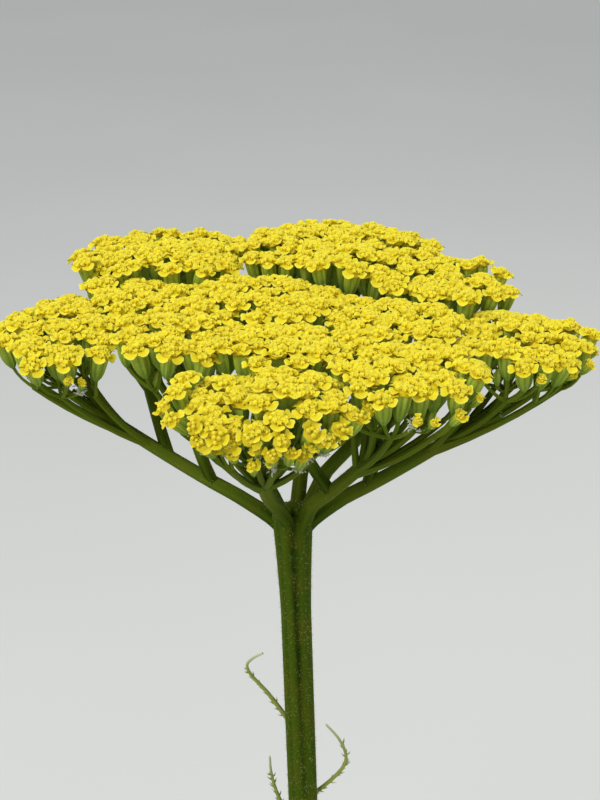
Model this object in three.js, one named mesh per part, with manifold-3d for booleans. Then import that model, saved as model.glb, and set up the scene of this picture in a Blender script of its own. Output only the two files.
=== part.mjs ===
// Potted fernleaf yarrow (Achillea filipendulina): a plain terracotta pot of compost that holds one clump,
// with ferny basal fronds and three leafy flowering stems, each under a flat, plate-like head of tiny florets.
// Millimetres, +Z up. The origin is the centre of the pot's base, on the surface that the pot stands on.
import * as THREE from "three";
import { mergeVertices } from "three/addons/utils/BufferGeometryUtils.js";
import Module from "manifold-3d";

const wasm = await Module();
wasm.setup();

const GAP = 0.35; // clearance between solids that would touch
const DEGREE = Math.PI / 180;
const GOLDEN_ANGLE = Math.PI * (3 - Math.sqrt(5));

// The pot is a thrown cone with a thick collar and one drain hole.
const POT_HEIGHT = 152;
const POT_BASE_RADIUS = 60;
const POT_BODY_TOP_RADIUS = 81.5;
const POT_RIM_RADIUS = 90;
const POT_RIM_HEIGHT = 28;
const POT_WALL = 7;
const POT_FLOOR = 9;
const POT_EDGE = 2; // bevel of the base and of the rim's lips
const POT_DRAIN_RADIUS = 8;
const POT_SIDES = 28;

// The compost is mounded a little around the clump.
const SOIL_EDGE_LEVEL = 136;
const SOIL_CROWN_LEVEL = 143;
const SOIL_LUMP = 1.1;
const HOLE_DEPTH = 20;
const HOLE_SIDES = 6;

// Each flowering stem: where it leaves the soil, the node where its branches spread, its radii,
// and the number of its leaves and the direction of the lowest one in radians from +X.
// The main stem bears the head of the photograph.
const STEMS = [
  { name: "main", root: [6, 8], node: [-2, 18, 495], radius: 3.9, topRadius: 3.3, leaves: 5, turn: 3.15 },
  { name: "left", root: [-14, -6], node: [-82, -34, 366], radius: 3.1, topRadius: 2.5, leaves: 4, turn: 2.6 },
  { name: "right", root: [14, -8], node: [75, -56, 320], radius: 2.9, topRadius: 2.3, leaves: 4, turn: 5.04 },
];
const STEM_STEPS = 9;
const STEM_RIBS = 5;
const STEM_FURROW = 0.84; // furrow radius over rib radius
const STEM_FLARE = 0.25; // widening of the last part of the stem, under the node
const STEM_LEAF_LENGTH = [74, 28]; // lowest and highest leaf
const STEM_LEAF_HALF_WIDTH = [17, 7];
// The three curled, all but bladeless leaves close under the main head, as points from the node.
const CURLED_LEAVES = [
  [[0, -1, -56], [-10, -1, -48], [-9.5, -2, -40], [-7, -2.5, -38]],
  [[2, -2, -81], [12.7, -1, -71.5], [13.5, -2, -67], [10, -2.5, -60], [7.8, -3, -58]],
  [[1, -2, -92], [-4, -2, -82], [-5.5, -3, -68]],
];

// The sub-heads of the main head, from the branching node: centre x, y, height of the crown of the florets,
// half-widths along x and y, and how far the rim sits below the crown. Seven stand on branches from the node,
// and the others on side branches: on names the branch that bears them, and the share of its length.
const MAIN_LOBES = [
  { name: "left", x: -45.5, y: 4, z: 42, rx: 13.5, ry: 18, dome: 2.8 },
  { name: "back_left", x: -28.5, y: 33.5, z: 47, rx: 20, ry: 15.5, dome: 2.2 },
  { name: "back", x: 10.5, y: 33, z: 49, rx: 23.5, ry: 21, dome: 3 },
  { name: "back_right", x: 33, y: 19, z: 47.5, rx: 16.5, ry: 14, dome: 2.4 },
  { name: "right", x: 44.5, y: -1, z: 43, rx: 15.5, ry: 14.5, dome: 2.8 },
  { name: "front_right", x: 19.5, y: -20.5, z: 45, rx: 17, ry: 15, dome: 3 },
  { name: "front_left", x: -4, y: -28.5, z: 43, rx: 18.5, ry: 15, dome: 4 },
  { name: "left_back", x: -33, y: 16, z: 44.5, rx: 18, ry: 11.5, dome: 2, on: ["left", 0.55] },
  { name: "middle_left", x: -22, y: -4, z: 44.5, rx: 15, ry: 14, dome: 2.6, on: ["left", 0.35] },
  { name: "middle_back", x: -3, y: 12, z: 46.5, rx: 21, ry: 15, dome: 2, on: ["back", 0.45] },
  { name: "middle_right", x: 21, y: 1.5, z: 45.5, rx: 17, ry: 15, dome: 2, on: ["right", 0.35] },
  { name: "middle_front", x: -1, y: -10.5, z: 45.5, rx: 14.5, ry: 13, dome: 2, on: ["front_right", 0.4] },
];
// A smaller head has one sub-head in the middle and a ring of them round it.
const SIDE_HEADS = {
  left: { radius: 46, rise: 33 },
  right: { radius: 39, rise: 29 },
};
const SIDE_RING = 5;

// Florets are larger than life here: one relief boss stands for a few real ones.
const MAIN_PITCH = 7.5;
const SIDE_PITCH = 9.2;
const FLORET_RISE = 1.7; // boss above its groove
const PLATE_DEPTH = 3; // crown of a boss to the underside
const PLATE_INSET = 0.7; // from the middle of the groove between two sub-heads to the rim of each
const CUP_LENGTH = 7;
const CUP_TOP_RADIUS = 2.9;
const CUP_BASE_RADIUS = 1.1;
const RAY_RADIUS = 0.75;
const HUB_RADIUS = 2.4;
const HUB_DROP = 16; // crown of a sub-head to the hub where its rays part
const HUB_INSET = 0.98;
const BRANCH_SIDES = 5;
const BRANCH_STEPS = 4;

// Fronds: one rib with leaflets cut to it. The inner ones stand up and the outer ones arch low.
const FROND_COUNT = 14;
const FROND_TURN = 3.8; // direction of the innermost frond in radians from +X
const FROND_PAIRS = 7;
const FROND_HALF_WIDTH = 25;
const BLADE_THICKNESS = 0.8;
const LEAFLET_SWEEP = 32 * DEGREE;
const LEAFLET_LIFT = 14 * DEGREE;

const materials = {
  terracotta: new THREE.MeshStandardMaterial({ color: "#b5653f", roughness: 0.9, metalness: 0 }),
  compost: new THREE.MeshStandardMaterial({ color: "#3a2a1e", roughness: 1, metalness: 0 }),
  stem: new THREE.MeshStandardMaterial({ color: "#6f7d35", roughness: 0.75, metalness: 0 }),
  foliage: new THREE.MeshStandardMaterial({ color: "#6d8a4c", roughness: 0.8, metalness: 0 }),
  florets: new THREE.MeshStandardMaterial({ color: "#f4d524", roughness: 0.6, metalness: 0 }),
};

const vector = (x, y, z) => new THREE.Vector3(x, y, z);
const mix = (a, b, t) => a + (b - a) * t;
const heading = (azimuth) => vector(Math.cos(azimuth), Math.sin(azimuth), 0);

// A repeatable irregularity from -1 to 1, for item i and property k.
const wobble = (i, k) => Math.sin(12.9898 * (i + 1) + 78.233 * (k + 1));

const geometryOf = (points, triangles) =>
  new THREE.BufferGeometry().setFromPoints(points).setIndex(triangles);

// A closed geometry as a solid that can be joined and cut.
function solidOf(geometry) {
  const bare = geometry.index ? geometry.toNonIndexed() : geometry.clone();
  for (const name of ["normal", "uv"]) bare.deleteAttribute(name);
  const merged = mergeVertices(bare, 1e-4);
  return new wasm.Manifold(
    new wasm.Mesh({
      numProp: 3,
      vertProperties: new Float32Array(merged.attributes.position.array),
      triVerts: new Uint32Array(merged.index.array),
    }),
  );
}

// A joined or cut solid as a geometry again.
function geometryOfSolid(solid) {
  const { vertProperties, triVerts } = solid.getMesh();
  const geometry = new THREE.BufferGeometry();
  geometry.setAttribute("position", new THREE.BufferAttribute(vertProperties.slice(), 3));
  geometry.setIndex(new THREE.BufferAttribute(triVerts.slice(), 1));
  return geometry;
}

function meshOf(name, geometry, material) {
  geometry.computeVertexNormals();
  const mesh = new THREE.Mesh(geometry, material);
  mesh.name = name;
  return mesh;
}

// A closed body through rings of points that all have the same number of corners.
function loft(rings) {
  const sides = rings[0].length;
  const triangles = [];
  for (let i = 0; i < rings.length - 1; i += 1) {
    for (let k = 0; k < sides; k += 1) {
      const a = i * sides + k;
      const b = i * sides + ((k + 1) % sides);
      triangles.push(a, b, b + sides, a, b + sides, a + sides);
    }
  }
  const last = (rings.length - 1) * sides;
  for (let k = 1; k < sides - 1; k += 1) {
    triangles.push(0, k + 1, k, last, last + k, last + k + 1);
  }
  return geometryOf(rings.flat(), triangles);
}

// The corners of a section: radii[k] out from the centre, in the plane of two directions.
const section = (centre, across, other, radii, twist = 0) =>
  radii.map((radius, k) => {
    const angle = (2 * Math.PI * (k + twist)) / radii.length;
    return centre
      .clone()
      .addScaledVector(across, radius * Math.cos(angle))
      .addScaledVector(other, radius * Math.sin(angle));
  });

// A closed tube along a curve. radiusAt(t, k) is the radius of corner k at the share t of the length.
function tube(curve, steps, sides, radiusAt) {
  const { normals, binormals } = curve.computeFrenetFrames(steps, false);
  const rings = normals.map((normal, i) => {
    const radii = Array.from({ length: sides }, (_, k) => radiusAt(i / steps, k));
    return section(curve.getPointAt(i / steps), normal, binormals[i], radii);
  });
  return loft(rings);
}

// Radius of the pot's straight inner wall at a height.
function potInnerRadius(z) {
  const slope = (POT_BODY_TOP_RADIUS - POT_BASE_RADIUS) / (POT_HEIGHT - POT_RIM_HEIGHT);
  return POT_BASE_RADIUS - POT_WALL + slope * z;
}

const latheOf = (profile) =>
  new THREE.LatheGeometry(
    profile.map(([radius, z]) => new THREE.Vector2(radius, z)),
    POT_SIDES,
  ).rotateX(Math.PI / 2);

// The pot: a profile from the drain hole out along the base, up the outside, over the rim and down the inside.
function potGeometry() {
  const rimBottom = POT_HEIGHT - POT_RIM_HEIGHT;
  return latheOf([
    [POT_DRAIN_RADIUS, 0],
    [POT_BASE_RADIUS - POT_EDGE, 0],
    [POT_BASE_RADIUS, POT_EDGE],
    [POT_BODY_TOP_RADIUS, rimBottom],
    [POT_RIM_RADIUS, rimBottom + POT_EDGE],
    [POT_RIM_RADIUS + 1, POT_HEIGHT - POT_EDGE],
    [POT_RIM_RADIUS - POT_EDGE, POT_HEIGHT],
    [potInnerRadius(POT_HEIGHT) + POT_EDGE, POT_HEIGHT],
    [potInnerRadius(POT_HEIGHT - POT_EDGE), POT_HEIGHT - POT_EDGE],
    [potInnerRadius(POT_FLOOR), POT_FLOOR],
    [POT_DRAIN_RADIUS, POT_FLOOR],
    [POT_DRAIN_RADIUS, 0],
  ]);
}

// Height of the mounded compost at a place.
function soilLevel(x, y) {
  const share = Math.hypot(x, y) / potInnerRadius(SOIL_EDGE_LEVEL);
  return mix(SOIL_CROWN_LEVEL, SOIL_EDGE_LEVEL, share * share);
}

// The compost fills the pot. Its top is lumpy, and each stem and frond stands in a plain hole in it.
function compostSolid(holes) {
  const bottom = POT_FLOOR + GAP;
  const wallGap = GAP / Math.cos(Math.PI / POT_SIDES);
  const edge = potInnerRadius(SOIL_EDGE_LEVEL) - wallGap;
  const geometry = latheOf([
    [0, bottom],
    [potInnerRadius(bottom) - wallGap, bottom],
    ...[1, 0.75, 0.5, 0.25, 0].map((share) => [share * edge, soilLevel(share * edge, 0)]),
  ]);
  const corners = geometry.attributes.position;
  for (let i = 0; i < corners.count; i += 1) {
    const x = corners.getX(i);
    const y = corners.getY(i);
    const radius = Math.hypot(x, y);
    if (corners.getZ(i) > bottom + 1 && radius > 1 && radius < edge - 1) {
      const lump = SOIL_LUMP * Math.sin(0.31 * x) * Math.cos(0.37 * y + 1);
      corners.setZ(i, corners.getZ(i) + lump);
    }
  }
  const headroom = 8; // of the drill above the soil
  const drills = holes.map(({ x, y, radius }) =>
    solidOf(
      new THREE.CylinderGeometry(radius, radius, HOLE_DEPTH + headroom, HOLE_SIDES)
        .rotateX(Math.PI / 2)
        .translate(x, y, soilLevel(x, y) + (headroom - HOLE_DEPTH) / 2),
    ),
  );
  return solidOf(geometry).subtract(wasm.Manifold.union(drills));
}

// A pinnate leaf as one closed thin solid. rib is its curve from the foot of the petiole to the tip, stops the
// shares of the rib where the petiole bends, the last one under the first leaflets, and side the direction
// across the blade. Broad leaflets have a corner on each edge, and slight ones on the near edge only.
function leafGeometry({ rib, stops, pairs, halfWidth, side, petiole, broad }) {
  const points = [];
  const triangles = [];
  const bladeFrom = stops[stops.length - 1];
  const stations = [...stops];
  for (let i = 1; i <= pairs; i += 1) stations.push(mix(bladeFrom, 0.94, i / pairs));

  const frameAt = (t) => {
    const along = rib.getTangentAt(t);
    const up = new THREE.Vector3().crossVectors(along, side).normalize();
    const across = new THREE.Vector3().crossVectors(up, along).normalize();
    return { at: rib.getPointAt(t), along, up, across };
  };
  // Adds a point of the middle surface as an upper and a lower vertex, and returns the upper one's index.
  const addPair = (point, up, half) => {
    points.push(point.clone().addScaledVector(up, half), point.clone().addScaledVector(up, -half));
    return points.length - 2;
  };
  const faces = (a, b, c) => triangles.push(a, b, c, a + 1, c + 1, b + 1);
  const wall = (a, b) => triangles.push(a, a + 1, b + 1, a, b + 1, b);

  const edges = stations.map((t) => {
    const { at, up, across } = frameAt(t);
    const halfRib = petiole.halfWidth * mix(1, 0.5, t);
    const half = mix(petiole.halfDepth, BLADE_THICKNESS / 2, Math.min(1, t / bladeFrom));
    const edgePoint = (hand) => at.clone().addScaledVector(across, hand * halfRib);
    return [addPair(edgePoint(1), up, half), addPair(edgePoint(-1), up, half)];
  });
  const end = frameAt(1);
  const tip = addPair(end.at, end.up, BLADE_THICKNESS / 2);

  wall(edges[0][0], edges[0][1]);
  for (let i = 0; i < edges.length - 1; i += 1) {
    const [left, right] = edges[i];
    const [nextLeft, nextRight] = edges[i + 1];
    faces(left, right, nextRight);
    faces(left, nextRight, nextLeft);
    if (stations[i + 1] <= bladeFrom) {
      wall(right, nextRight);
      wall(nextLeft, left);
    }
  }
  const [lastLeft, lastRight] = edges[edges.length - 1];
  faces(lastLeft, lastRight, tip);
  wall(lastRight, tip);
  wall(tip, lastLeft);

  // A leaflet is a fan of triangles from the rib's edge to its corners. hand is 1 on the left and -1 on the right.
  const addLeaflet = (i, hand) => {
    const share = (i - stops.length + 1.5) / pairs;
    const { at, along, up, across } = frameAt((stations[i] + stations[i + 1]) / 2);
    const length = halfWidth * Math.sin(Math.PI * mix(0.2, 0.92, share)) ** 0.8;
    const spacing = rib.getLength() * (stations[i + 1] - stations[i]);
    const belly = Math.min(0.26 * length, 0.46 * spacing);
    const cornerAt = (reach, back) => {
      const sideways = length * reach * Math.cos(LEAFLET_LIFT);
      const lift = length * reach * Math.sin(LEAFLET_LIFT) * (1.35 - 0.7 * reach);
      const place = at
        .clone()
        .addScaledVector(across, hand * sideways * Math.cos(LEAFLET_SWEEP))
        .addScaledVector(along, sideways * Math.sin(LEAFLET_SWEEP) + back)
        .addScaledVector(up, lift);
      return addPair(place, up, BLADE_THICKNESS / 2);
    };
    const column = hand === 1 ? 0 : 1;
    const outline = [edges[i][column], cornerAt(0.45, -belly), cornerAt(1, 0)];
    if (broad) outline.push(cornerAt(0.5, belly));
    outline.push(edges[i + 1][column]);
    const [start, near, point] = outline;
    const far = outline[outline.length - 2];
    const close = outline[outline.length - 1];
    const turn = (a, b, c) => (hand === 1 ? faces(a, b, c) : faces(a, c, b));
    if (broad) {
      turn(start, close, far);
      turn(start, far, near);
      turn(near, far, point);
    } else {
      turn(start, close, near);
      turn(near, close, point);
    }
    for (let k = 0; k < outline.length - 1; k += 1) {
      if (hand === 1) wall(outline[k + 1], outline[k]);
      else wall(outline[k], outline[k + 1]);
    }
  };
  for (let i = stops.length - 1; i < edges.length - 1; i += 1) {
    addLeaflet(i, 1);
    addLeaflet(i, -1);
  }
  return geometryOf(points, triangles);
}

// Where frond i stands: low numbers near the middle of the clump, high ones at its edge.
function frondRoot(i) {
  const share = i / (FROND_COUNT - 1);
  const outward = heading(FROND_TURN + i * GOLDEN_ANGLE);
  const root = outward.clone().multiplyScalar(mix(24, 43, share) + 1.5 * wobble(i, 0));
  return { share, outward, root: root.setZ(soilLevel(root.x, root.y)) };
}

// A basal frond: its petiole stands straight in a hole in the compost, and then arches outwards.
function frondGeometry(i) {
  const { share, outward, root } = frondRoot(i);
  const reach = mix(84, 122, share) + 8 * wobble(i, 1);
  const rise = mix(172, 52, share) + 8 * wobble(i, 2);
  const slope = mix(80, 58, share) * DEGREE;
  const pull = 0.62 * Math.hypot(reach, rise);
  const place = (out, up) => root.clone().addScaledVector(outward, out).add(vector(0, 0, up));
  const arch = new THREE.QuadraticBezierCurve3(
    root,
    place(pull * Math.cos(slope), pull * Math.sin(slope)),
    place(reach, rise),
  );
  const path = [place(0, 1 - HOLE_DEPTH), place(0, 2), ...[0.2, 0.4, 0.6, 0.8, 1].map((t) => arch.getPoint(t))];
  const rib = new THREE.CatmullRomCurve3(path, false, "centripetal");
  const collar = (HOLE_DEPTH + 1) / rib.getLength();
  return leafGeometry({
    rib,
    stops: [0, collar, mix(collar, 0.34, 0.5), 0.34],
    pairs: FROND_PAIRS,
    halfWidth: FROND_HALF_WIDTH,
    side: vector(-outward.y, outward.x, 0),
    petiole: { halfWidth: 1.6, halfDepth: 0.9 },
    broad: true,
  });
}

// The path of a flowering stem: straight up out of the soil, then in one easy curve to its branching node.
function stemCurve({ root: [x, y], node: [nodeX, nodeY, nodeZ] }) {
  const level = soilLevel(x, y);
  const path = [
    vector(x, y, level - HOLE_DEPTH + 1),
    vector(x, y, level + 4),
    vector(mix(x, nodeX, 0.34), mix(y, nodeY, 0.34), mix(level, nodeZ, 0.5)),
    vector(nodeX, nodeY, nodeZ),
  ];
  return new THREE.CatmullRomCurve3(path, false, "centripetal");
}

// Leaf i of a flowering stem. They stand in a spiral, and are smaller towards the head.
function stemLeaf(stem, curve, i) {
  const share = i / (stem.leaves - 1);
  const outward = heading(stem.turn + i * GOLDEN_ANGLE);
  const foot = curve.getPointAt(mix(0.24, 0.66, share));
  const length = mix(...STEM_LEAF_LENGTH, share);
  const place = (out, up) => foot.clone().addScaledVector(outward, out * length).add(vector(0, 0, up * length));
  return leafGeometry({
    rib: new THREE.QuadraticBezierCurve3(foot, place(0.42, 0.5), place(0.92, 0.42)),
    stops: [0, 0.16],
    pairs: share < 0.5 ? 5 : 4,
    halfWidth: mix(...STEM_LEAF_HALF_WIDTH, share),
    side: vector(-outward.y, outward.x, 0),
    petiole: { halfWidth: 1.3, halfDepth: 0.7 },
    broad: false,
  });
}

// The sub-heads of one of the smaller heads.
function sideLobes({ radius, rise }) {
  const lobes = [{ name: "middle", x: 0, y: 0, z: rise + 4, rx: 0.42 * radius, ry: 0.42 * radius, dome: 2 }];
  for (let i = 0; i < SIDE_RING; i += 1) {
    const centre = heading(0.5 + (2 * Math.PI * i) / SIDE_RING).multiplyScalar(
      radius * (0.62 + 0.02 * wobble(i, 3)),
    );
    const size = radius * (0.4 + 0.02 * wobble(i, 4));
    lobes.push({
      name: `ring_${i + 1}`,
      x: centre.x,
      y: centre.y,
      z: rise + 1.5 * wobble(i, 5),
      rx: size,
      ry: size,
      dome: 2.6,
    });
  }
  return lobes;
}

// 0 at the centre of a sub-head and 1 on its outline.
const lobeShare = (lobe, x, y) => Math.hypot((x - lobe.x) / lobe.rx, (y - lobe.y) / lobe.ry);
const crownLevel = (lobe, share) => lobe.z - lobe.dome * share ** 2;

// A head's cells lie on one six-sided lattice. Cell (q, r) has these neighbours, anticlockwise.
const NEIGHBOURS = [[1, 0], [0, 1], [-1, 1], [-1, 0], [0, -1], [1, -1]];

// Centre of a cell of the slightly uneven lattice.
function cellCentre(q, r, pitch) {
  const shift = 0.09 * pitch;
  const u = pitch * (q + r / 2) + shift * wobble(q + 9 * r, 0);
  const v = (pitch * r * Math.sqrt(3)) / 2 + shift * wobble(q - 7 * r, 1);
  return vector(0.97 * u - 0.25 * v, 0.25 * u + 0.97 * v, 0);
}

// Gives each cell to the sub-head that it lies deepest in. Returns one map of cells for each sub-head.
function shareOutCells(lobes, pitch) {
  const cells = lobes.map(() => new Map());
  const steps = Math.ceil(90 / pitch);
  for (let r = -steps; r <= steps; r += 1) {
    for (let q = -steps; q <= steps; q += 1) {
      const { x, y } = cellCentre(q, r, pitch);
      const outside = lobes.map((lobe) => (lobeShare(lobe, x, y) - 1) * Math.sqrt(lobe.rx * lobe.ry));
      const owner = outside.indexOf(Math.min(...outside));
      if (outside[owner] < -0.36 * pitch) cells[owner].set(`${q},${r}`, { q, r, x, y });
    }
  }
  return cells;
}

// The yellow plate of a sub-head: one boss for each cell, with a groove between bosses and a scalloped rim.
function plateGeometry(lobe, cells, pitch, node) {
  const points = [];
  const triangles = [];
  const corners = new Map();
  const place = (x, y, z) => vector(x, y, z).add(node);
  const middleOf = (centres) =>
    centres.reduce((total, centre) => total.add(centre), vector(0, 0, 0)).divideScalar(centres.length);

  // The corner that a cell shares with neighbours k and k + 1, drawn in from the cells of other sub-heads.
  // It has an upper and a lower vertex, and the upper one's index is returned.
  const cornerOf = (q, r, k) => {
    const trio = [[0, 0], NEIGHBOURS[k], NEIGHBOURS[(k + 1) % 6]].map(([dq, dr]) => [q + dq, r + dr]);
    const key = trio.map(String).sort().join(" ");
    if (!corners.has(key)) {
      const centres = trio.map(([a, b]) => cellCentre(a, b, pitch));
      const own = centres.filter((_, n) => cells.has(String(trio[n])));
      const corner = middleOf(centres);
      if (own.length < 3) corner.add(middleOf(own).sub(corner).setLength(PLATE_INSET));
      const level = crownLevel(lobe, lobeShare(lobe, corner.x, corner.y));
      corners.set(key, points.length);
      points.push(
        place(corner.x, corner.y, level - FLORET_RISE),
        place(corner.x, corner.y, level - PLATE_DEPTH),
      );
    }
    return corners.get(key);
  };

  for (const { q, r, x, y } of cells.values()) {
    const rim = NEIGHBOURS.map((_, k) => cornerOf(q, r, k));
    const boss = points.length;
    points.push(place(x, y, crownLevel(lobe, lobeShare(lobe, x, y)) + 0.5 * wobble(q + 3 * r, 6)));
    for (let k = 0; k < 6; k += 1) {
      const next = (k + 1) % 6;
      triangles.push(boss, rim[k], rim[next]);
      if (k > 0 && k < 5) triangles.push(rim[0] + 1, rim[next] + 1, rim[k] + 1);
      const [dq, dr] = NEIGHBOURS[next];
      if (!cells.has(`${q + dq},${r + dr}`)) {
        triangles.push(rim[k], rim[k] + 1, rim[next] + 1, rim[k], rim[next] + 1, rim[next]);
      }
    }
  }
  return geometryOf(points, triangles);
}

// One ray and its cup as a four-sided stalk: thin at the hub, thin at the cup's base, wide and level at its top.
function cupGeometry(hub, base, top) {
  const stops = [
    { at: hub, along: base.clone().sub(hub), radius: RAY_RADIUS },
    { at: base, along: top.clone().sub(hub), radius: CUP_BASE_RADIUS },
    { at: top, along: vector(0, 0, 1), radius: CUP_TOP_RADIUS },
  ];
  const rings = stops.map(({ at, along, radius }) => {
    const across = new THREE.Vector3().crossVectors(along, vector(0.31, 0.95, 0)).normalize();
    const other = new THREE.Vector3().crossVectors(along, across).normalize();
    return section(at, across, other, Array(4).fill(radius), 0.5);
  });
  return loft(rings);
}

// The cups under a sub-head, each on a ray from the hub: along the whole head's rim, and a few inside it.
function cupsUnder(lobe, cells, headCells, pitch, node, hub) {
  const cups = [];
  for (const { q, r, x, y } of cells.values()) {
    const open = NEIGHBOURS.filter(([dq, dr]) => !headCells.has(`${q + dq},${r + dr}`)).length;
    const onRim = open >= (pitch > MAIN_PITCH ? 3 : 2);
    const isInner = (q - r + 300) % 3 === 0 && (q + 300) % 2 === 0;
    if (!onRim && !isInner) continue;
    const share = lobeShare(lobe, x, y) + CUP_TOP_RADIUS / Math.max(lobe.rx, lobe.ry);
    const top = vector(x, y, crownLevel(lobe, share) - PLATE_DEPTH - 2 * GAP);
    const base = top.clone().add(vector(0.2 * (lobe.x - x), 0.2 * (lobe.y - y), -CUP_LENGTH));
    cups.push(cupGeometry(hub, base.add(node), top.add(node)));
  }
  return cups;
}

// The branches of a head, by the name of the sub-head that each bears: its curve, its hub and its radii.
function branches(lobes, node, stemRadius) {
  const made = {};
  lobes.forEach((lobe, i) => {
    const hub = node.clone().add(vector(lobe.x * HUB_INSET, lobe.y * HUB_INSET, lobe.z - HUB_DROP));
    const bearer = lobe.on ? made[lobe.on[0]] : null;
    const start = bearer ? bearer.curve.getPointAt(lobe.on[1]) : node.clone().add(vector(0, 0, 1.3 * (i % 4) - 6));
    const reach = hub.clone().sub(start);
    const control = start.clone().add(vector(0.4 * reach.x, 0.4 * reach.y, 0.3 * reach.z));
    const footRadius = stemRadius * (bearer ? 0.42 : 0.62);
    made[lobe.name] = {
      hub,
      curve: new THREE.QuadraticBezierCurve3(start, control, hub),
      radiusAt: (t) => mix(footRadius, 0.36 * stemRadius, t),
    };
  });
  return made;
}

// A flowering stem with its leaves, branches, rays and cups as one green solid, and the yellow plates of its head.
function floweringStem(stem) {
  const isMain = stem.name === "main";
  const lobes = isMain ? MAIN_LOBES : sideLobes(SIDE_HEADS[stem.name]);
  const pitch = isMain ? MAIN_PITCH : SIDE_PITCH;
  const node = vector(...stem.node);
  const curve = stemCurve(stem);
  const ribbedRadius = (t, k) => {
    const flare = 1 + STEM_FLARE * Math.max(0, (t - 0.975) / 0.025);
    const furrow = k % 2 ? STEM_FURROW : 1;
    return mix(stem.radius, stem.topRadius, t) * flare * furrow;
  };
  const green = [tube(curve, STEM_STEPS, 2 * STEM_RIBS, ribbedRadius)];
  for (let i = 0; i < stem.leaves; i += 1) green.push(stemLeaf(stem, curve, i));
  for (const path of isMain ? CURLED_LEAVES : []) {
    const spine = new THREE.CatmullRomCurve3(path.map((point) => vector(...point).add(node)));
    green.push(tube(spine, path.length, 3, (t) => mix(0.9, 0.45, t)));
  }

  const cells = shareOutCells(lobes, pitch);
  const headCells = new Set(cells.flatMap((own) => [...own.keys()]));
  const arms = branches(lobes, node, stem.topRadius);
  const plates = lobes.map((lobe, i) => {
    const { hub, curve: arm, radiusAt } = arms[lobe.name];
    green.push(
      tube(arm, BRANCH_STEPS, BRANCH_SIDES, radiusAt),
      new THREE.OctahedronGeometry(HUB_RADIUS).translate(hub.x, hub.y, hub.z),
      ...cupsUnder(lobe, cells[i], headCells, pitch, node, hub),
    );
    const plate = plateGeometry(lobe, cells[i], pitch, node);
    return meshOf(`${stem.name}_florets_${lobe.name}`, plate, materials.florets);
  });
  const body = wasm.Manifold.union(green.map(solidOf));
  return [meshOf(`${stem.name}_stem`, geometryOfSolid(body), materials.stem), ...plates];
}

const plant = new THREE.Group();
plant.name = "potted_fernleaf_yarrow";
plant.add(meshOf("pot", potGeometry(), materials.terracotta));

// A stem's hole is wide enough for its ribs and the slight lean of its foot.
const holes = STEMS.map(({ root: [x, y], radius }) => ({ x, y, radius: 1.16 * (radius + 2 * GAP) }));
for (let i = 0; i < FROND_COUNT; i += 1) {
  const { root } = frondRoot(i);
  holes.push({ x: root.x, y: root.y, radius: 2.8 });
}
plant.add(meshOf("compost", geometryOfSolid(compostSolid(holes)), materials.compost));
for (const stem of STEMS) plant.add(...floweringStem(stem));
for (let i = 0; i < FROND_COUNT; i += 1) {
  const name = `frond_${String(i + 1).padStart(2, "0")}`;
  plant.add(meshOf(name, frondGeometry(i), materials.foliage));
}

export default plant;
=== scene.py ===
"""Potted fernleaf yarrow, dressed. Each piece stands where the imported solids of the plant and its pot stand.

Sizes and places are millimetres with +Z up and the origin under the middle of the pot, and new_piece makes
metres of them. Angles are in radians unless a name ends in _DEGREES."""

import bpy
import numpy as np
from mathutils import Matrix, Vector


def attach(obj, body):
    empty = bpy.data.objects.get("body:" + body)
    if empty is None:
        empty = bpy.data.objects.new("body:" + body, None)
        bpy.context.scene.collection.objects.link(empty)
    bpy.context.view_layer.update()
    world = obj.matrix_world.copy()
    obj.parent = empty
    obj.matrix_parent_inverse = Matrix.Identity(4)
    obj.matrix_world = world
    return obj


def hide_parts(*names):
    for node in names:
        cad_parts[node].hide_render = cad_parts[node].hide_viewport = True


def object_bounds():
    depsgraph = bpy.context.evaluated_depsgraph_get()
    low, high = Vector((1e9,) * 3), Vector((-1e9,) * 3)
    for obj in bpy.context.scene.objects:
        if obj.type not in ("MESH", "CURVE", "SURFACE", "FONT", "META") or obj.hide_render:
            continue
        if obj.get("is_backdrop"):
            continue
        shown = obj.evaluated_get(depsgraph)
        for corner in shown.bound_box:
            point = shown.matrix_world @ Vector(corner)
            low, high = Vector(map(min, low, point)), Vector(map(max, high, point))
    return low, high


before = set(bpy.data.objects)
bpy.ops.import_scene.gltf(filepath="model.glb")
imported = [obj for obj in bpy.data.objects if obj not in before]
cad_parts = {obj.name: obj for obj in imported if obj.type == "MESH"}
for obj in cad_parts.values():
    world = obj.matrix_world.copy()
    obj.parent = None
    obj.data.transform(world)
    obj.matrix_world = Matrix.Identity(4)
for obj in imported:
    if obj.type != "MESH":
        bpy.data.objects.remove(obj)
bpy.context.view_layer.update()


# The pot: a flowerpot of fired terracotta, thrown on a wheel with a thick collar. The thrower's fingers left
# faint rings in the clay, and lime from the water has dried on it as a pale bloom.
MM = 0.001
SHARP_DEGREES = 55  # edges of a piece that turn by more are not shaded smooth
POT_HEIGHT = 152
POT_BASE_RADIUS = 60
POT_BODY_TOP_RADIUS = 81.5
POT_RIM_RADIUS = 90
POT_RIM_HEIGHT = 28
POT_RIM_SLANT = 1  # rise of the collar's underside, and lean of its side
POT_WALL = 7
POT_FLOOR = 9
POT_DRAIN_RADIUS = 8
POT_ROUNDING = 1.9
POT_COLUMNS = 108
RING_SPACING = 5.2  # between the thrower's finger marks
RING_DEPTH = 0.2
RING_ROWS = 2.5  # of points for each of them
SHORTEST_STEP = 0.25  # between two rows
OUT_OF_ROUND = 0.0012  # as a share of the radius


def mix(a, b, share):
    """The value that lies share of the way from a to b."""
    return a + (b - a) * share


def unit(vectors):
    """Each vector divided by its length."""
    return vectors / np.linalg.norm(vectors, axis=-1, keepdims=True)


def turns(count):
    """A full turn in equal steps, in radians."""
    return 2 * np.pi * np.arange(count) / count


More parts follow.
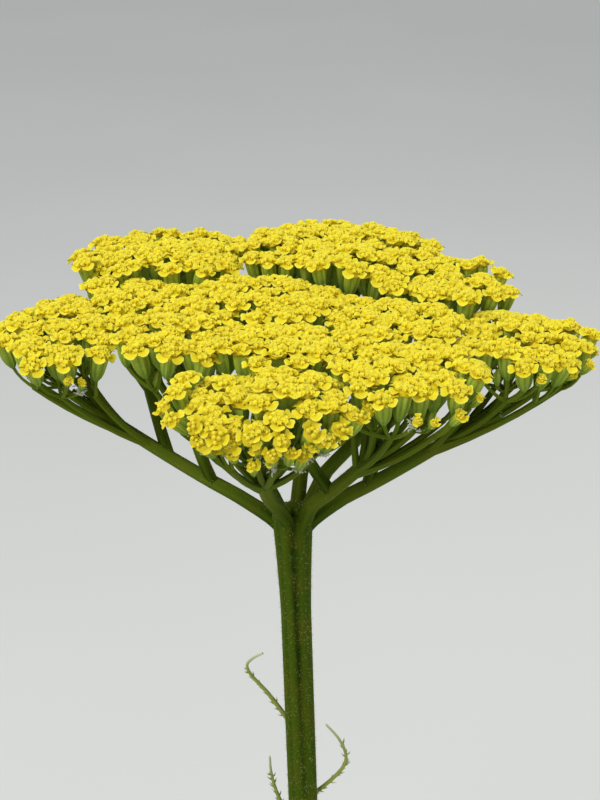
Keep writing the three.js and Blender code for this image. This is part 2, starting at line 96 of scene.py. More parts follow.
def stacked(*numbers):
    """Arrays spread over each other's axes and set side by side along a new last one."""
    return np.stack(np.broadcast_arrays(*numbers), -1)


def round_z(radius, angle, z):
    """Points at a distance from the Z axis, an angle about it and a height."""
    return stacked(radius * np.cos(angle), radius * np.sin(angle), z)


def lengths_along(path):
    """Distance along a line of points, from its first point to each of them."""
    return np.concatenate([[0], np.cumsum(np.linalg.norm(np.diff(path, axis=0), axis=1))])


def read_between(table, stations, wanted):
    """Rows read from a table at the wanted stations: its own rows stand at stations, and between two of them
    the values run in a straight line."""
    return np.stack([np.interp(wanted, stations, column) for column in table.T], -1)


def points_along(path, distances):
    """Points of a line of points at the given distances along it."""
    return read_between(path, lengths_along(path), distances)


def grid_faces(rows, columns, copies=1, around=True, ring=False, caps=True):
    """Faces of equal grids of points, one grid after another. A quad joins each point to the next in its row
    and to the row above. around joins the last column to the first, ring joins the last row to the first, and
    caps closes the first and the last row with one face each. Seen from outside, columns run anticlockwise as
    rows go up."""
    row = np.arange(rows if ring else rows - 1)[:, None]
    column = np.arange(columns if around else columns - 1)
    above = (row + 1) % rows
    beside = (column + 1) % columns
    row, above = row * columns, above * columns
    quads = np.stack([row + column, row + beside, above + beside, above + column], -1).reshape(-1, 4)
    start = rows * columns * np.arange(copies)
    faces = [(quads + start[:, None, None]).reshape(-1, 4)]
    if caps:
        end = np.arange(columns)
        faces += [end[::-1] + start[:, None], end + (rows - 1) * columns + start[:, None]]
    return faces


def new_piece(name, parts, material):
    """Makes one object of parts, each with its points in millimetres, its faces and its look: three numbers a
    point, which the material reads from the attribute of that name."""
    first = np.cumsum([0] + [len(points) for points, _, _ in parts])
    faces = [face + start for (_, groups, _), start in zip(parts, first) for face in groups]
    corner_counts = np.concatenate([np.full(len(face), face.shape[1]) for face in faces])
    corners = np.concatenate([face.ravel() for face in faces])
    points = MM * np.concatenate([part[0] for part in parts])
    mesh = bpy.data.meshes.new(name)
    mesh.vertices.add(first[-1])
    mesh.vertices.foreach_set("co", points.astype(np.float32).ravel())
    mesh.loops.add(len(corners))
    mesh.loops.foreach_set("vertex_index", corners.astype(np.int32))
    mesh.polygons.add(len(corner_counts))
    starts = np.concatenate([[0], np.cumsum(corner_counts)[:-1]])
    mesh.polygons.foreach_set("loop_start", starts.astype(np.int32))
    mesh.polygons.foreach_set("use_smooth", np.ones(len(corner_counts), bool))
    look = np.concatenate([np.broadcast_to(part[2], part[0].shape) for part in parts])
    colours = mesh.attributes.new("look", "FLOAT_COLOR", "POINT")
    colours.data.foreach_set("color", np.c_[look, np.ones(len(look))].astype(np.float32).ravel())
    mesh.update(calc_edges=True)
    mesh.set_sharp_from_angle(angle=np.radians(SHARP_DEGREES))
    mesh.materials.append(material)
    made = bpy.data.objects.new(name, mesh)
    bpy.context.scene.collection.objects.link(made)
    return made


def linear(hex_colour):
    """An sRGB colour such as "#b5653f" as linear red, green, blue and alpha."""
    channels = np.array([int(hex_colour[i:i + 2], 16) / 255 for i in (1, 3, 5)])
    low = channels / 12.92
    high = ((channels + 0.055) / 1.055) ** 2.4
    return (*np.where(channels <= 0.04045, low, high).tolist(), 1.0)


def add_node(material, kind, inputs, output=0, **settings):
    """Adds a shader node and gives one of its outputs, or all of them where output is None. inputs gives its
    sockets, by name or number, a value, a colour such as "#b5653f" or another node's output."""
    node = material.node_tree.nodes.new("ShaderNode" + kind)
    for name, value in settings.items():
        setattr(node, name, value)
    for socket, value in inputs.items():
        if isinstance(value, bpy.types.NodeSocket):
            material.node_tree.links.new(value, node.inputs[socket])
        else:
            node.inputs[socket].default_value = linear(value) if isinstance(value, str) else value
    return node.outputs if output is None else node.outputs[output]


def new_material(name, constants):
    """A material with these constants on its shader, the place of each point of its piece, and a function
    that links an output to one of the sockets of the shader."""
    material = bpy.data.materials.new(name)
    material.use_nodes = True
    shader = material.node_tree.nodes["Principled BSDF"]
    for socket, value in constants.items():
        shader.inputs[socket].default_value = value
    place = add_node(material, "TexCoord", {}, "Object")
    return material, place, lambda output, socket: material.node_tree.links.new(output, shader.inputs[socket])


def pot_inner_radius(z):
    """The straight inner wall: its radius grows with height as the outer wall's does."""
    slope = (POT_BODY_TOP_RADIUS - POT_BASE_RADIUS) / (POT_HEIGHT - POT_RIM_HEIGHT)
    return POT_BASE_RADIUS - POT_WALL + slope * z


def pot_surface():
    """A closed profile turned about the axis. Each corner is a quadratic arc, and the finger marks are a sine
    of the height that climbs one ring a turn."""
    rim_bottom = POT_HEIGHT - POT_RIM_HEIGHT
    corners = np.array([
        [POT_DRAIN_RADIUS, 0],
        [POT_BASE_RADIUS, 0],
        [POT_BODY_TOP_RADIUS, rim_bottom],
        [POT_RIM_RADIUS, rim_bottom + POT_RIM_SLANT],
        [POT_RIM_RADIUS + POT_RIM_SLANT, POT_HEIGHT],
        [pot_inner_radius(POT_HEIGHT), POT_HEIGHT],
        [pot_inner_radius(POT_FLOOR), POT_FLOOR],
        [POT_DRAIN_RADIUS, POT_FLOOR],
    ], float)
    t = np.linspace(0, 1, 5)[:, None]
    before = corners + POT_ROUNDING * unit(np.roll(corners, 1, 0) - corners)
    after = corners + POT_ROUNDING * unit(np.roll(corners, -1, 0) - corners)
    arcs = (1 - t) ** 2 * before[:, None] + 2 * t * (1 - t) * corners[:, None] + t ** 2 * after[:, None]
    outline = np.concatenate([arcs.reshape(-1, 2), arcs[:1, 0]])
    reach = lengths_along(outline)
    lip = reach[outline[:, 0].argmax()]
    stations = np.union1d(reach, np.arange(0, lip, RING_SPACING / RING_ROWS))[:-1]
    stations = stations[np.diff(stations, append=reach[-1]) > SHORTEST_STEP]
    radius, z = points_along(outline, stations).T[:, :, None]
    angle = turns(POT_COLUMNS)
    on_body = np.clip((z - 4) / 6, 0, 1) * np.clip((rim_bottom - 3 - z) / 4, 0, 1)
    on_wall = radius > POT_BASE_RADIUS - POT_WALL
    mark = np.sin(2 * np.pi * z / RING_SPACING + angle + 0.8 * np.sin(z / 11))
    radius = radius + RING_DEPTH * mark * on_wall * np.maximum(on_body, 0.25 * (z > rim_bottom + 4))
    radius = radius * (1 + OUT_OF_ROUND * np.cos(2 * angle + 0.7))
    points = round_z(radius, angle, z)
    faces = grid_faces(len(points), POT_COLUMNS, ring=True, caps=False)
    return points.reshape(-1, 3), faces, np.zeros(3)


# Fired terracotta is matt and open-pored. Its colour drifts over a few centimetres, fine sand shows as
# specks, and the lime bloom lies in patches, most of all near the base.
terracotta, place, dress = new_material("fired terracotta", {"Roughness": 0.88, "Specular IOR Level": 0.3})
height = add_node(terracotta, "SeparateXYZ", {"Vector": place}, "Z")
drift = add_node(terracotta, "TexNoise", {"Vector": place, "Scale": 1 / (45 * MM), "Detail": 6})
sand = add_node(terracotta, "TexNoise", {"Vector": place, "Scale": 1 / (0.9 * MM), "Detail": 2})
bloom = add_node(terracotta, "TexNoise", {
    "Vector": place, "Scale": 1 / (34 * MM), "Detail": 8, "Roughness": 0.75, "Distortion": 0.2,
})
clay = add_node(terracotta, "MixRGB", {"Fac": drift, "Color1": "#9c4c2b", "Color2": "#c9774d"})
specks = add_node(terracotta, "MapRange", {"Value": sand, "From Min": 0.62, "From Max": 0.75, "To Max": 0.35})
sandy = add_node(terracotta, "MixRGB", {"Fac": specks, "Color1": clay, "Color2": "#e0a27c"})
low = add_node(terracotta, "MapRange", {
    "Value": height, "From Min": 0.0, "From Max": 60 * MM, "To Min": 0.13, "To Max": 0,
})
lime = add_node(terracotta, "Math", {0: bloom, 1: low}, operation="ADD")
film = add_node(terracotta, "MapRange", {"Value": lime, "From Min": 0.48, "From Max": 0.8, "To Max": 0.45})
limed = add_node(terracotta, "MixRGB", {"Fac": film, "Color1": sandy, "Color2": "#dcc4b0"})
dress(limed, "Base Color")
grit = add_node(terracotta, "Bump", {"Height": sand, "Strength": 0.5, "Distance": 0.25 * MM})
dress(grit, "Normal")

pot = new_piece("terracotta_pot", [pot_surface()], terracotta)
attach(pot, "root")
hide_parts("pot")


# The compost: dark, open potting compost, mounded a little round the clump and pressed in by hand. Loose
# crumbs, chips of composted bark and a few white grains of perlite lie on it.
SOIL_EDGE_LEVEL = 136
SOIL_CROWN_LEVEL = 143
SOIL_GAP = 0.4  # between the compost and the pot
SOIL_COLUMNS = 120
SOIL_RINGS = 50  # of its top
SWELL_HEIGHT = 1.1
CLOD_HEIGHT, CLOD_SIZE = 0.9, 7
FINE_HEIGHT, FINE_SIZE = 0.45, 3.1  # of the smaller lumps on the clods
SETTLING = 0.6  # of the whole top, to make up for the clods
STREWN_MARGIN = 3.5  # between what lies on it and the pot
CRUMBS = 750
BARK_CHIPS = 60
PERLITE_GRAINS = 45


def soil_level(x, y):
    """Height of the mound: it falls with the square of the distance from the middle of the pot."""
    share = np.hypot(x, y) / pot_inner_radius(SOIL_EDGE_LEVEL)
    return mix(SOIL_CROWN_LEVEL, SOIL_EDGE_LEVEL, share ** 2)


def unevenness(x, y, size):
    """A sum of sines in seven directions with wavelengths near size, mostly from -1 to 1."""
    turn = np.arange(7)
    across = x[..., None] * np.cos(2.4 * turn) + y[..., None] * np.sin(2.4 * turn)
    return np.sin(2 * np.pi * across / (size * (0.75 + 0.09 * turn)) + 1.7 * turn).sum(-1) / 3


def soil_surface_level(x, y):
    """The mound with broad swells, and with small ones that stand up like clods."""
    swells = SWELL_HEIGHT * np.sin(0.31 * x) * np.cos(0.37 * y + 1)
    clods = CLOD_HEIGHT * np.abs(unevenness(x, y, CLOD_SIZE))
    fine = FINE_HEIGHT * unevenness(y, x, FINE_SIZE)
    return soil_level(x, y) + swells + clods + fine - SETTLING


def crosswise(ahead, aside=(0.31, 0.95, 0)):
    """Two unit directions square to each direction ahead, the first of them square to aside as well."""
    across = unit(np.cross(ahead, aside))
    return across, np.cross(ahead, across)


def axes_along(ahead, turn=0.0):
    """Three unit directions for each item: two square to ahead and turned about it, and ahead."""
    across, other = crosswise(ahead)
    turn = np.asarray(turn)[..., None]
    first = np.cos(turn) * across + np.sin(turn) * other
    return np.stack([first, np.cross(ahead, first), ahead], -2)


def placed(local, axes, places):
    """Carries each copy's own points to its place, with its x, y and z along its three axes."""
    return (np.einsum("npk,nkd->npd", local, axes) + places[:, None]).reshape(-1, 3)


def lumps(places, half_sizes, random, rows=3, columns=5):
    """Small closed pebbles: rings of a ball, with each corner pushed in or out by up to a quarter."""
    count = len(places)
    latitude = np.linspace(-1.15, 1.15, rows)[:, None]
    longitude = turns(columns)
    ball = round_z(np.cos(latitude), longitude, np.sin(latitude)).reshape(-1, 3)
    ball = ball * random.uniform(0.75, 1.25, (count, rows * columns, 1))
    upright = unit(np.c_[random.normal(0, 0.3, (count, 2)), np.ones(count)])
    axes = axes_along(upright, random.uniform(0, 2 * np.pi, count))
    points = placed(ball * half_sizes[:, None], axes, places)
    tone = np.repeat(random.uniform(0, 1, count), rows * columns)
    return points, grid_faces(rows, columns, count), np.c_[tone, tone, tone]


def strewn(count, random, lift):
    """Places spread evenly over the compost, lift above it."""
    radius = (pot_inner_radius(SOIL_EDGE_LEVEL) - STREWN_MARGIN) * np.sqrt(random.uniform(0, 1, count))
    angle = random.uniform(0, 2 * np.pi, count)
    x, y = radius * np.cos(angle), radius * np.sin(angle)
    return np.c_[x, y, soil_surface_level(x, y) + lift]


def soil_surface():
    """A closed body of turning: the bottom, the side and the uneven top, as rows from the bottom's middle
    round to the top's middle."""
    bottom = POT_FLOOR + SOIL_GAP
    side_z = np.linspace(bottom, SOIL_EDGE_LEVEL - 1, 6)
    side = pot_inner_radius(side_z) - SOIL_GAP
    top = np.linspace(pot_inner_radius(SOIL_EDGE_LEVEL) - SOIL_GAP, 0.5, SOIL_RINGS)
    radius = np.concatenate([[0.5, 30], side, top])[:, None]
    angle = turns(SOIL_COLUMNS)
    x, y = radius * np.cos(angle), radius * np.sin(angle)
    fixed_z = np.concatenate([[bottom, bottom], side_z, np.zeros(SOIL_RINGS)])[:, None]
    on_top = (np.arange(len(radius)) >= len(radius) - SOIL_RINGS)[:, None]
    z = np.where(on_top, soil_surface_level(x, y), fixed_z)
    return stacked(x, y, z).reshape(-1, 3), grid_faces(len(radius), SOIL_COLUMNS), np.full(3, 0.5)


# Composted bark and peat: nearly black where it is damp, with fibres and crumbs of several browns.
compost, place, dress = new_material("potting compost", {"Roughness": 0.95, "Specular IOR Level": 0.2})
tone = add_node(compost, "Attribute", {}, "Fac", attribute_name="look")
fibres = add_node(compost, "TexNoise", {
    "Vector": place, "Scale": 1 / (2.2 * MM), "Detail": 6, "Roughness": 0.7,
})
damp = add_node(compost, "TexNoise", {"Vector": place, "Scale": 1 / (16 * MM), "Detail": 3})
brown = add_node(compost, "MixRGB", {"Fac": fibres, "Color1": "#20150d", "Color2": "#5a402a"})
toned = add_node(compost, "MixRGB", {"Fac": tone, "Color1": brown, "Color2": "#6b4d33"}, blend_type="OVERLAY")
damper = add_node(compost, "MapRange", {"Value": damp, "From Min": 0.35, "From Max": 0.65, "To Max": 0.55})
dark = add_node(compost, "MixRGB", {"Fac": damper, "Color1": toned, "Color2": "#1b120b"})
dress(dark, "Base Color")
crumb = add_node(compost, "Bump", {"Height": fibres, "Strength": 0.9, "Distance": 0.8 * MM})
dress(crumb, "Normal")

# Expanded volcanic glass: white, light and full of tiny pits.
perlite, place, dress = new_material("perlite", {"Roughness": 0.8})
pits = add_node(perlite, "TexVoronoi", {"Vector": place, "Scale": 1 / (0.4 * MM)})
white = add_node(perlite, "MixRGB", {"Fac": pits, "Color1": "#f1eee6", "Color2": "#c9c2b4"})
dress(white, "Base Color")
pitted = add_node(perlite, "Bump", {"Height": pits, "Strength": 0.6, "Distance": 0.2 * MM})
dress(pitted, "Normal")

random = np.random.default_rng(7)
crumb_size = random.lognormal(-0.05, 0.38, (CRUMBS, 1)) * random.uniform(0.6, 1.1, (CRUMBS, 3))
chip_size = np.c_[random.uniform(2.2, 5, BARK_CHIPS), random.uniform(0.9, 1.8, BARK_CHIPS),
                  random.uniform(0.35, 0.7, BARK_CHIPS)]
soil_parts = [
    soil_surface(),
    lumps(strewn(CRUMBS, random, 0.3), crumb_size, random),
    lumps(strewn(BARK_CHIPS, random, 0.7), chip_size, random, 4, 6),
]
compost_bed = new_piece("compost_bed", soil_parts, compost)
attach(compost_bed, "root")
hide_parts("compost")

grain_size = random.uniform(0.6, 1.4, (PERLITE_GRAINS, 1)) * random.uniform(0.8, 1.1, (PERLITE_GRAINS, 3))
grain_parts = [lumps(strewn(PERLITE_GRAINS, random, 0.5), grain_size, random, 4, 6)]
grains = new_piece("perlite_grains", grain_parts, perlite)
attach(grains, "root")


# The flowering stems: three stiff, ribbed stems, olive with a tinge of brown, that widen where the branches
# of the head spread. They grow out of the compost, and short pale hairs cover them.

# "root" is where a stem leaves the compost, "node" where its branches part, "bow" how far it bows along X
# near the node, "leaves" how many it has, and "turn" the direction of its lowest leaf.
STEMS = {
    "main": {"root": (6, 8), "node": (-2, 18, 495), "radius": 3.9, "top_radius": 3.3, "bow": 0.45,
             "leaves": 5, "turn": 3.15},
    "left": {"root": (-14, -6), "node": (-82, -34, 366), "radius": 3.1, "top_radius": 2.5,
             "leaves": 4, "turn": 2.6},
    "right": {"root": (14, -8), "node": (75, -56, 320), "radius": 2.9, "top_radius": 2.3,
              "leaves": 4, "turn": 5.04},
}
STEM_DEPTH = 19  # of the feet of stems and fronds in the compost
STEM_ROWS = {"main": 110, "left": 64, "right": 64}
STEM_COLUMNS = 66
FLARE = 0.33  # growth of the radius at the node
FLARE_START = 0.93  # as a share of the stem
FURROWS = [  # angle in radians from the deepest one, depth as a share of it, half-width in radians
    (0, 1, 0.24), (0.8, 0.3, 0.13), (1.65, 0.5, 0.16), (2.6, 0.35, 0.14), (3.5, 0.5, 0.17), (4.4, 0.3, 0.13),
    (5.4, 0.4, 0.14),
]
FURROW_DEPTH = 0.24  # of the deepest one, as a share of the stem's radius
FURROW_DIRECTION = 1.9  # of the deepest one at the node, from +X
LOWER_WINDING = 4.5  # radians that they turn more in its lower part, for a whole stem's length
LOWER_WINDING_END = 0.78  # top of that part, as a share of the stem
HAIR_RADIUS = 0.035
HAIR_LENGTH = 0.6
BRANCH_HAIR_LENGTH = 0.55


def spline(knots, shares=None, count=None):
    """Centripetal Catmull-Rom curve through the knots, as points at these shares of its length, or as count
    points at equal steps of it."""
    knots = np.array(knots, float)
    knots = np.vstack([2 * knots[0] - knots[1], knots, 2 * knots[-1] - knots[-2]])
    gaps = np.sqrt(np.linalg.norm(np.diff(knots, axis=0), axis=1))
    t = np.linspace(0, 1, 60)[:, None]
    spans = []
    for i in range(1, len(knots) - 2):
        a, b, c, d = knots[i - 1:i + 3]
        p, q, r = gaps[i - 1:i + 2]
        leave = q * ((b - a) / p - (c - a) / (p + q) + (c - b) / q)
        arrive = q * ((c - b) / q - (d - b) / (q + r) + (d - c) / r)
        spans.append(b + leave * t + (3 * (c - b) - 2 * leave - arrive) * t ** 2
                     + (2 * (b - c) + leave + arrive) * t ** 3)
    fine = np.vstack(spans)
    shares = np.linspace(0, 1, count) if shares is None else np.asarray(shares)
    return points_along(fine, shares * lengths_along(fine)[-1])


def arch(start, control, end, count):
    """Quadratic curve from start to end, drawn towards control. Each may be a point or a list of points."""
    t = np.linspace(0, 1, count)[:, None]
    start, control, end = (np.asarray(point, float)[..., None, :] for point in (start, control, end))
    return (1 - t) ** 2 * start + 2 * t * (1 - t) * control + t ** 2 * end


def tubes(paths, radii, columns, look):
    """Round surfaces carried along paths of points: each ring is its path's point plus the radius times the
    cosine of the angle across the path and the sine of it the other way. radii and look spread over copies,
    rows, columns."""
    paths = np.asarray(paths, float)
    copies, rows = paths.shape[:2]
    ahead = unit(np.gradient(paths, axis=1))
    across, other = crosswise(ahead)
    angle = turns(columns)[:, None]
    outward = np.cos(angle) * across[:, :, None] + np.sin(angle) * other[:, :, None]
    radii = np.broadcast_to(radii, (copies, rows, columns))[..., None]
    points = paths[:, :, None] + radii * outward
    look = np.stack([np.broadcast_to(number, points.shape[:-1]) for number in look], -1)
    return points.reshape(-1, 3), grid_faces(rows, columns, copies), look.reshape(-1, 3)


def stem_path(stem, shares):
    """Straight up out of the compost, then in one easy curve to the node, bowed sideways a little below
    it."""
    x, y = stem["root"]
    node_x, node_y, node_z = stem["node"]
    level = soil_level(x, y)
    return spline([
        [x, y, level - STEM_DEPTH],
        [x, y, level + 4],
        [mix(x, node_x, 0.34), mix(y, node_y, 0.34), mix(level, node_z, 0.5)],
        [mix(x, node_x, 0.85) + stem.get("bow", 0), mix(y, node_y, 0.85), mix(level, node_z, 0.88)],
        [node_x + stem.get("bow", 0), node_y, node_z],
    ], shares)


def stem_surface(stem, rows):
    """A tube with furrows. Its radius falls from foot to top and grows again by a third at the flare. Each
    furrow is a bell curve of the angle, and the deepest one fades away from the node. They turn about the
    stem by a radian from the node to the foot, and faster below LOWER_WINDING_END."""
    shares = np.concatenate([np.linspace(0, FLARE_START - 0.01, rows), np.linspace(FLARE_START, 1, 12)])
    path = stem_path(stem, shares)
    dome = stem["top_radius"] * np.array([[0, 0, 0.3], [0, 0, 0.5]])
    path = np.vstack([path, path[-1] + dome])
    along = np.concatenate([shares, [1, 1]])[:, None]
    winding = FURROW_DIRECTION + (1 - along) + LOWER_WINDING * np.clip(LOWER_WINDING_END - along, 0, 1)
    furrow = np.zeros((len(path), STEM_COLUMNS))
    for offset, depth, half_width in FURROWS:
        away = (turns(STEM_COLUMNS) - winding - offset + np.pi) % (2 * np.pi) - np.pi
        fading = mix(0.5, 1, np.clip((along - 0.8) / 0.1, 0, 1)) if offset == 0 else 1
        furrow = furrow + fading * depth * np.exp(-(away / half_width) ** 2)
    flare = 1 + FLARE * np.clip((along - FLARE_START) / (1 - FLARE_START), 0, 1) ** 1.5
    radius = mix(stem["radius"], stem["top_radius"], along) * flare * (1 - FURROW_DEPTH * furrow)
    closing = np.ones(len(path))
    closing[-2:] = 0.7, 0.3
    radius = radius * closing[:, None]
    # The look's second number, 1 - furrow, carries the painted shade of the furrows.
    return tubes(path[None], radius[None], STEM_COLUMNS, (along, 1 - furrow, 0))


def hairs(surface, count, length, random, lowest=0):
    """Fine tapering hairs: three-sided spikes that stand on random places of a surface above the lowest
    height, each leaning its own way."""
    points, faces, _ = surface
    a, b, c = (points[faces[0][:, k]] for k in (0, 1, 3))
    normals = np.cross(b - a, c - a)
    area = np.linalg.norm(normals, axis=1) * (a[:, 2] > lowest)
    chosen = random.choice(len(area), count, p=area / area.sum())
    sideways, upwards = random.uniform(0, 1, (2, count, 1))
    foot = a[chosen] + sideways * (b - a)[chosen] + upwards * (c - a)[chosen]
    outward = unit(normals[chosen])
    lean = unit(outward + random.normal(0, 0.5, (count, 3)) + [0, 0, 0.35])
    sizes = length * random.uniform(0.5, 1.3, (count, 1))
    angle = turns(3)
    base = HAIR_RADIUS * round_z(1, angle, -1)
    local = np.repeat(np.vstack([base, [[0, 0, 0]]])[None], count, 0)
    local[:, 3, 2] = sizes[:, 0]
    spikes = placed(local, axes_along(lean), foot)
    start = 4 * np.arange(count)[:, None, None]
    faces = np.array([[2, 1, 0], [0, 1, 3], [1, 2, 3], [2, 0, 3]])
    return spikes, [(faces + start).reshape(-1, 3)], np.array([0.0, 1.0, 1.0])


# A living stem: olive green and matt under its down, with fine streaks along it and a tinge of brown in
# places, and with shade painted into its furrows. The branches are younger and paler.
stem_skin, place, dress = new_material("green stem", {"Roughness": 0.75, "Specular IOR Level": 0.05})
look = add_node(stem_skin, "Attribute", {}, attribute_name="look")
parts = add_node(stem_skin, "SeparateColor", {"Color": look}, None)
lengthwise = add_node(stem_skin, "Mapping", {"Vector": place, "Scale": (1, 1, 0.06)})
streak = add_node(stem_skin, "TexNoise", {"Vector": lengthwise, "Scale": 1 / (0.8 * MM), "Detail": 3})
blotch = add_node(stem_skin, "TexNoise", {"Vector": place, "Scale": 1 / (6 * MM), "Detail": 4})
# Painted shade: where the look's second number falls, in the furrows, the green darkens to near black.
green = add_node(stem_skin, "MixRGB", {"Fac": parts["Green"], "Color1": "#182402", "Color2": "#43570a"})
fine = add_node(stem_skin, "MapRange", {"Value": streak, "From Min": 0.35, "From Max": 0.7, "To Max": 0.55})
streaked = add_node(stem_skin, "MixRGB", {"Fac": fine, "Color1": green, "Color2": "#3a5006"})
tinge = add_node(stem_skin, "MapRange", {"Value": blotch, "From Min": 0.45, "From Max": 0.72, "To Max": 0.45})
browned = add_node(stem_skin, "MixRGB", {"Fac": tinge, "Color1": streaked, "Color2": "#5f5514"})
paler = add_node(stem_skin, "MixRGB", {"Fac": parts["Blue"], "Color1": browned, "Color2": "#8ea32c"})
dress(paler, "Base Color")
ridges = add_node(stem_skin, "Bump", {"Height": streak, "Strength": 0.35, "Distance": 0.12 * MM})
dress(ridges, "Normal")

# Plant hair: so fine and clear that it takes on the green behind it and only softens the edges of what it
# covers.
hair, place, dress = new_material("plant hair", {"Roughness": 0.6, "Specular IOR Level": 0.2})
strand = add_node(hair, "TexNoise", {"Vector": place, "Scale": 1 / (3 * MM)})
pale = add_node(hair, "MixRGB", {"Fac": strand, "Color1": "#7b883a", "Color2": "#b9c07c"})
dress(pale, "Base Color")

# Plant wool: the same hair, long and tangled in tufts, so that it is whiter.
wool, place, dress = new_material("plant wool", {"Roughness": 0.8, "Specular IOR Level": 0.1})
strand = add_node(wool, "TexNoise", {"Vector": place, "Scale": 1 / (0.6 * MM)})
whitish = add_node(wool, "MixRGB", {"Fac": strand, "Color1": "#9da182", "Color2": "#e4e3d2"})
dress(whitish, "Base Color")

stalk_surfaces = {}
for name, stem in STEMS.items():
    stalk_surfaces[name] = stem_surface(stem, STEM_ROWS[name])
    stalk = new_piece(f"{name}_stalk", [stalk_surfaces[name]], stem_skin)
    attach(stalk, "root")
    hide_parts(f"{name}_stem")


# The branches: each stem parts at its node into stout ribbed branches, which fan out and up like the ribs of
# an umbrella. Each carries a sub-head, and ever finer stalks part from its end, one for each small flower
# head.

# The sub-heads of the main head, from its node. "at" is the middle, "half" the half-lengths along X and Y,
# "dome" the fall from the middle to the edge, "slope" the rise along X, and "ragged" how far the clusters
# step up and down. "on" gives the branch that bears this one's and the share of the way along it, "bow" bends
# its branch along X, and "roots" stands in for ROOT_DEPTHS.
MAIN_LOBES = {
    "left": {"at": (-45.5, 4, 42), "half": (13.5, 18), "dome": 2.4, "slope": 0.05},
    "back_left": {"at": (-28, 33.5, 46), "half": (20, 15.5), "dome": 0.8, "slope": 0.015},
    "back": {"at": (10.5, 33, 47.7), "half": (24, 21), "dome": 1.9, "slope": -0.07},
    "back_right": {"at": (31.6, 19, 46), "half": (16, 14), "dome": 1.2},
    "right": {"at": (44.5, -1, 42.3), "half": (15.5, 14.5), "dome": 2.4, "slope": -0.03,
              "ragged": 0.7},
    "front_right": {"at": (19.5, -19.5, 44.4), "half": (17, 13.6), "dome": 2.6, "slope": 0.04},
    "front_left": {"at": (-4, -26.6, 42.6), "half": (18.5, 12.4), "dome": 3, "ragged": 0.9, "bow": -5,
                   "roots": (12, 7, 2)},
    "left_back": {"at": (-32, 16, 43.5), "half": (16.5, 11.5), "dome": 2, "on": ("left", 0.55)},
    "middle_left": {"at": (-21.7, -2, 43.3), "half": (15, 12.5), "dome": 2, "on": ("left", 0.35)},
    "middle_back": {"at": (-3, 12, 44.5), "half": (21, 15), "dome": 2, "on": ("back", 0.45)},
    "middle_right": {"at": (21, 1.5, 43.8), "half": (17, 15), "dome": 2, "on": ("right", 0.35)},
    "middle_front": {"at": (-1, -10.5, 44.1), "half": (14.5, 13), "dome": 2, "on": ("front_right", 0.4)},
}
SIDE_HEADS = {"left": {"radius": 46, "rise": 33}, "right": {"radius": 39, "rise": 29}}
SIDE_RING = 5
HEAD_PITCH = {"main": 4.4, "left": 5.2, "right": 5.2}  # between small flower heads
HEAD_REACH = 95  # from the node to beyond the outermost of them
EDGE_INSET = 0.27  # of their places from a sub-head's edge, as a share of the pitch
SEAM_WIDTH = 0.15  # of the strip between two sub-heads that still bears some, as a share of the pitch
PLACE_JITTER = 0.18  # of their places, as a share of the pitch
CLUSTER_PITCH = 9.2  # between the last partings of the stalks
CLUSTER_JITTER = 0.32  # as a share of it
CLUSTER_STEPS = 24  # of it each way from the node
HUB_DROP = 16  # of a branch's end below the middle of its sub-head
HUB_INSET = 0.98  # its distance from the stem, as a share of the sub-head's
CLUSTER_LIFT = 0.4  # of the clusters above or below each other, where a sub-head isn't more ragged
CLUSTER_DOME = 0.02  # fall per millimetre squared from the middle of a cluster
CLUSTER_DRAW = 0.96  # of the flower heads towards the middle of their cluster
WAVE_HEIGHT, WAVE_SIZE = 0.35, 17  # of the slow rise and fall across a head
FLOWER_SIZES = (0.97, 1.13)
CUP_LENGTH = 5.6
CUP_DROP = 0.5  # of a cup's mouth below the florets' feet
BRANCH_POINTS = 26  # of its arch from the node to the hub
BUD_SHARE = 0.7  # of the flower heads away from the rims that have a bud beside them
BUD_HEIGHTS = (-7, -4.5)  # above the flower head that it stands beside
BUD_SIZES = (0.6, 0.8)
OPEN, LATE, BUD = range(3)
GOLDEN_ANGLE = np.pi * (3 - np.sqrt(5))
BRANCH_ROWS = 24
BRANCH_COLUMNS = 15
BRANCH_RIBS = 5
BRANCH_FURROW_DEPTH = 0.16  # as a share of its radius
BRANCH_FOOT = 0.6  # its radius where it leaves the node, as a share of the stem's
SIDE_BRANCH_FOOT = 0.42  # the same where it leaves another branch
BRANCH_TIP = 0.36  # the same at the hub
ROOT_DEPTHS = (18, 11, 4)  # of the branch's path in the stem below the node
ROOT_SPREAD = (0.15, 0.4, 0.72)  # from the stem's middle at each of them, as a share of its radius
PARTING_DEPTH = 10.4  # below the highest flower head of the cluster
STALK_SPREAD = 1.7  # distance of a cluster from the hub for which its stalk starts one point further back
CLUSTER_STALK_RADII = (0.82, 0.55)
CLUSTER_STALK_GRID = (7, 6)  # rows and columns of its surface
FLOWER_STALK_RADII = (0.5, 0.42, 0.38, 0.38, 0.45)
FLOWER_STALK_COLUMNS = 4
TUFT_HAIRS = 50
TUFT_SPREAD = 0.35
TUFT_HAIR_RADII = (0.15, 0.15, 0.12, 0.04)
WOOLLY_TOP = 95  # of each stem, below its node
HAIR_COUNTS = {"top": 1200, "stem": 700, "branches": 600}
MAIN_HAIRINESS = 3  # times as many on the top and the branches of the main stem


def wobble(i, k):
    """The part's repeatable irregularity from -1 to 1, for item i and property k."""
    return np.sin(12.9898 * (i + 1) + 78.233 * (k + 1))


def of_each(lobes, key, default=0):
    """One value of every sub-head, in their order."""
    return np.array([lobe.get(key, default) for lobe in lobes.values()])


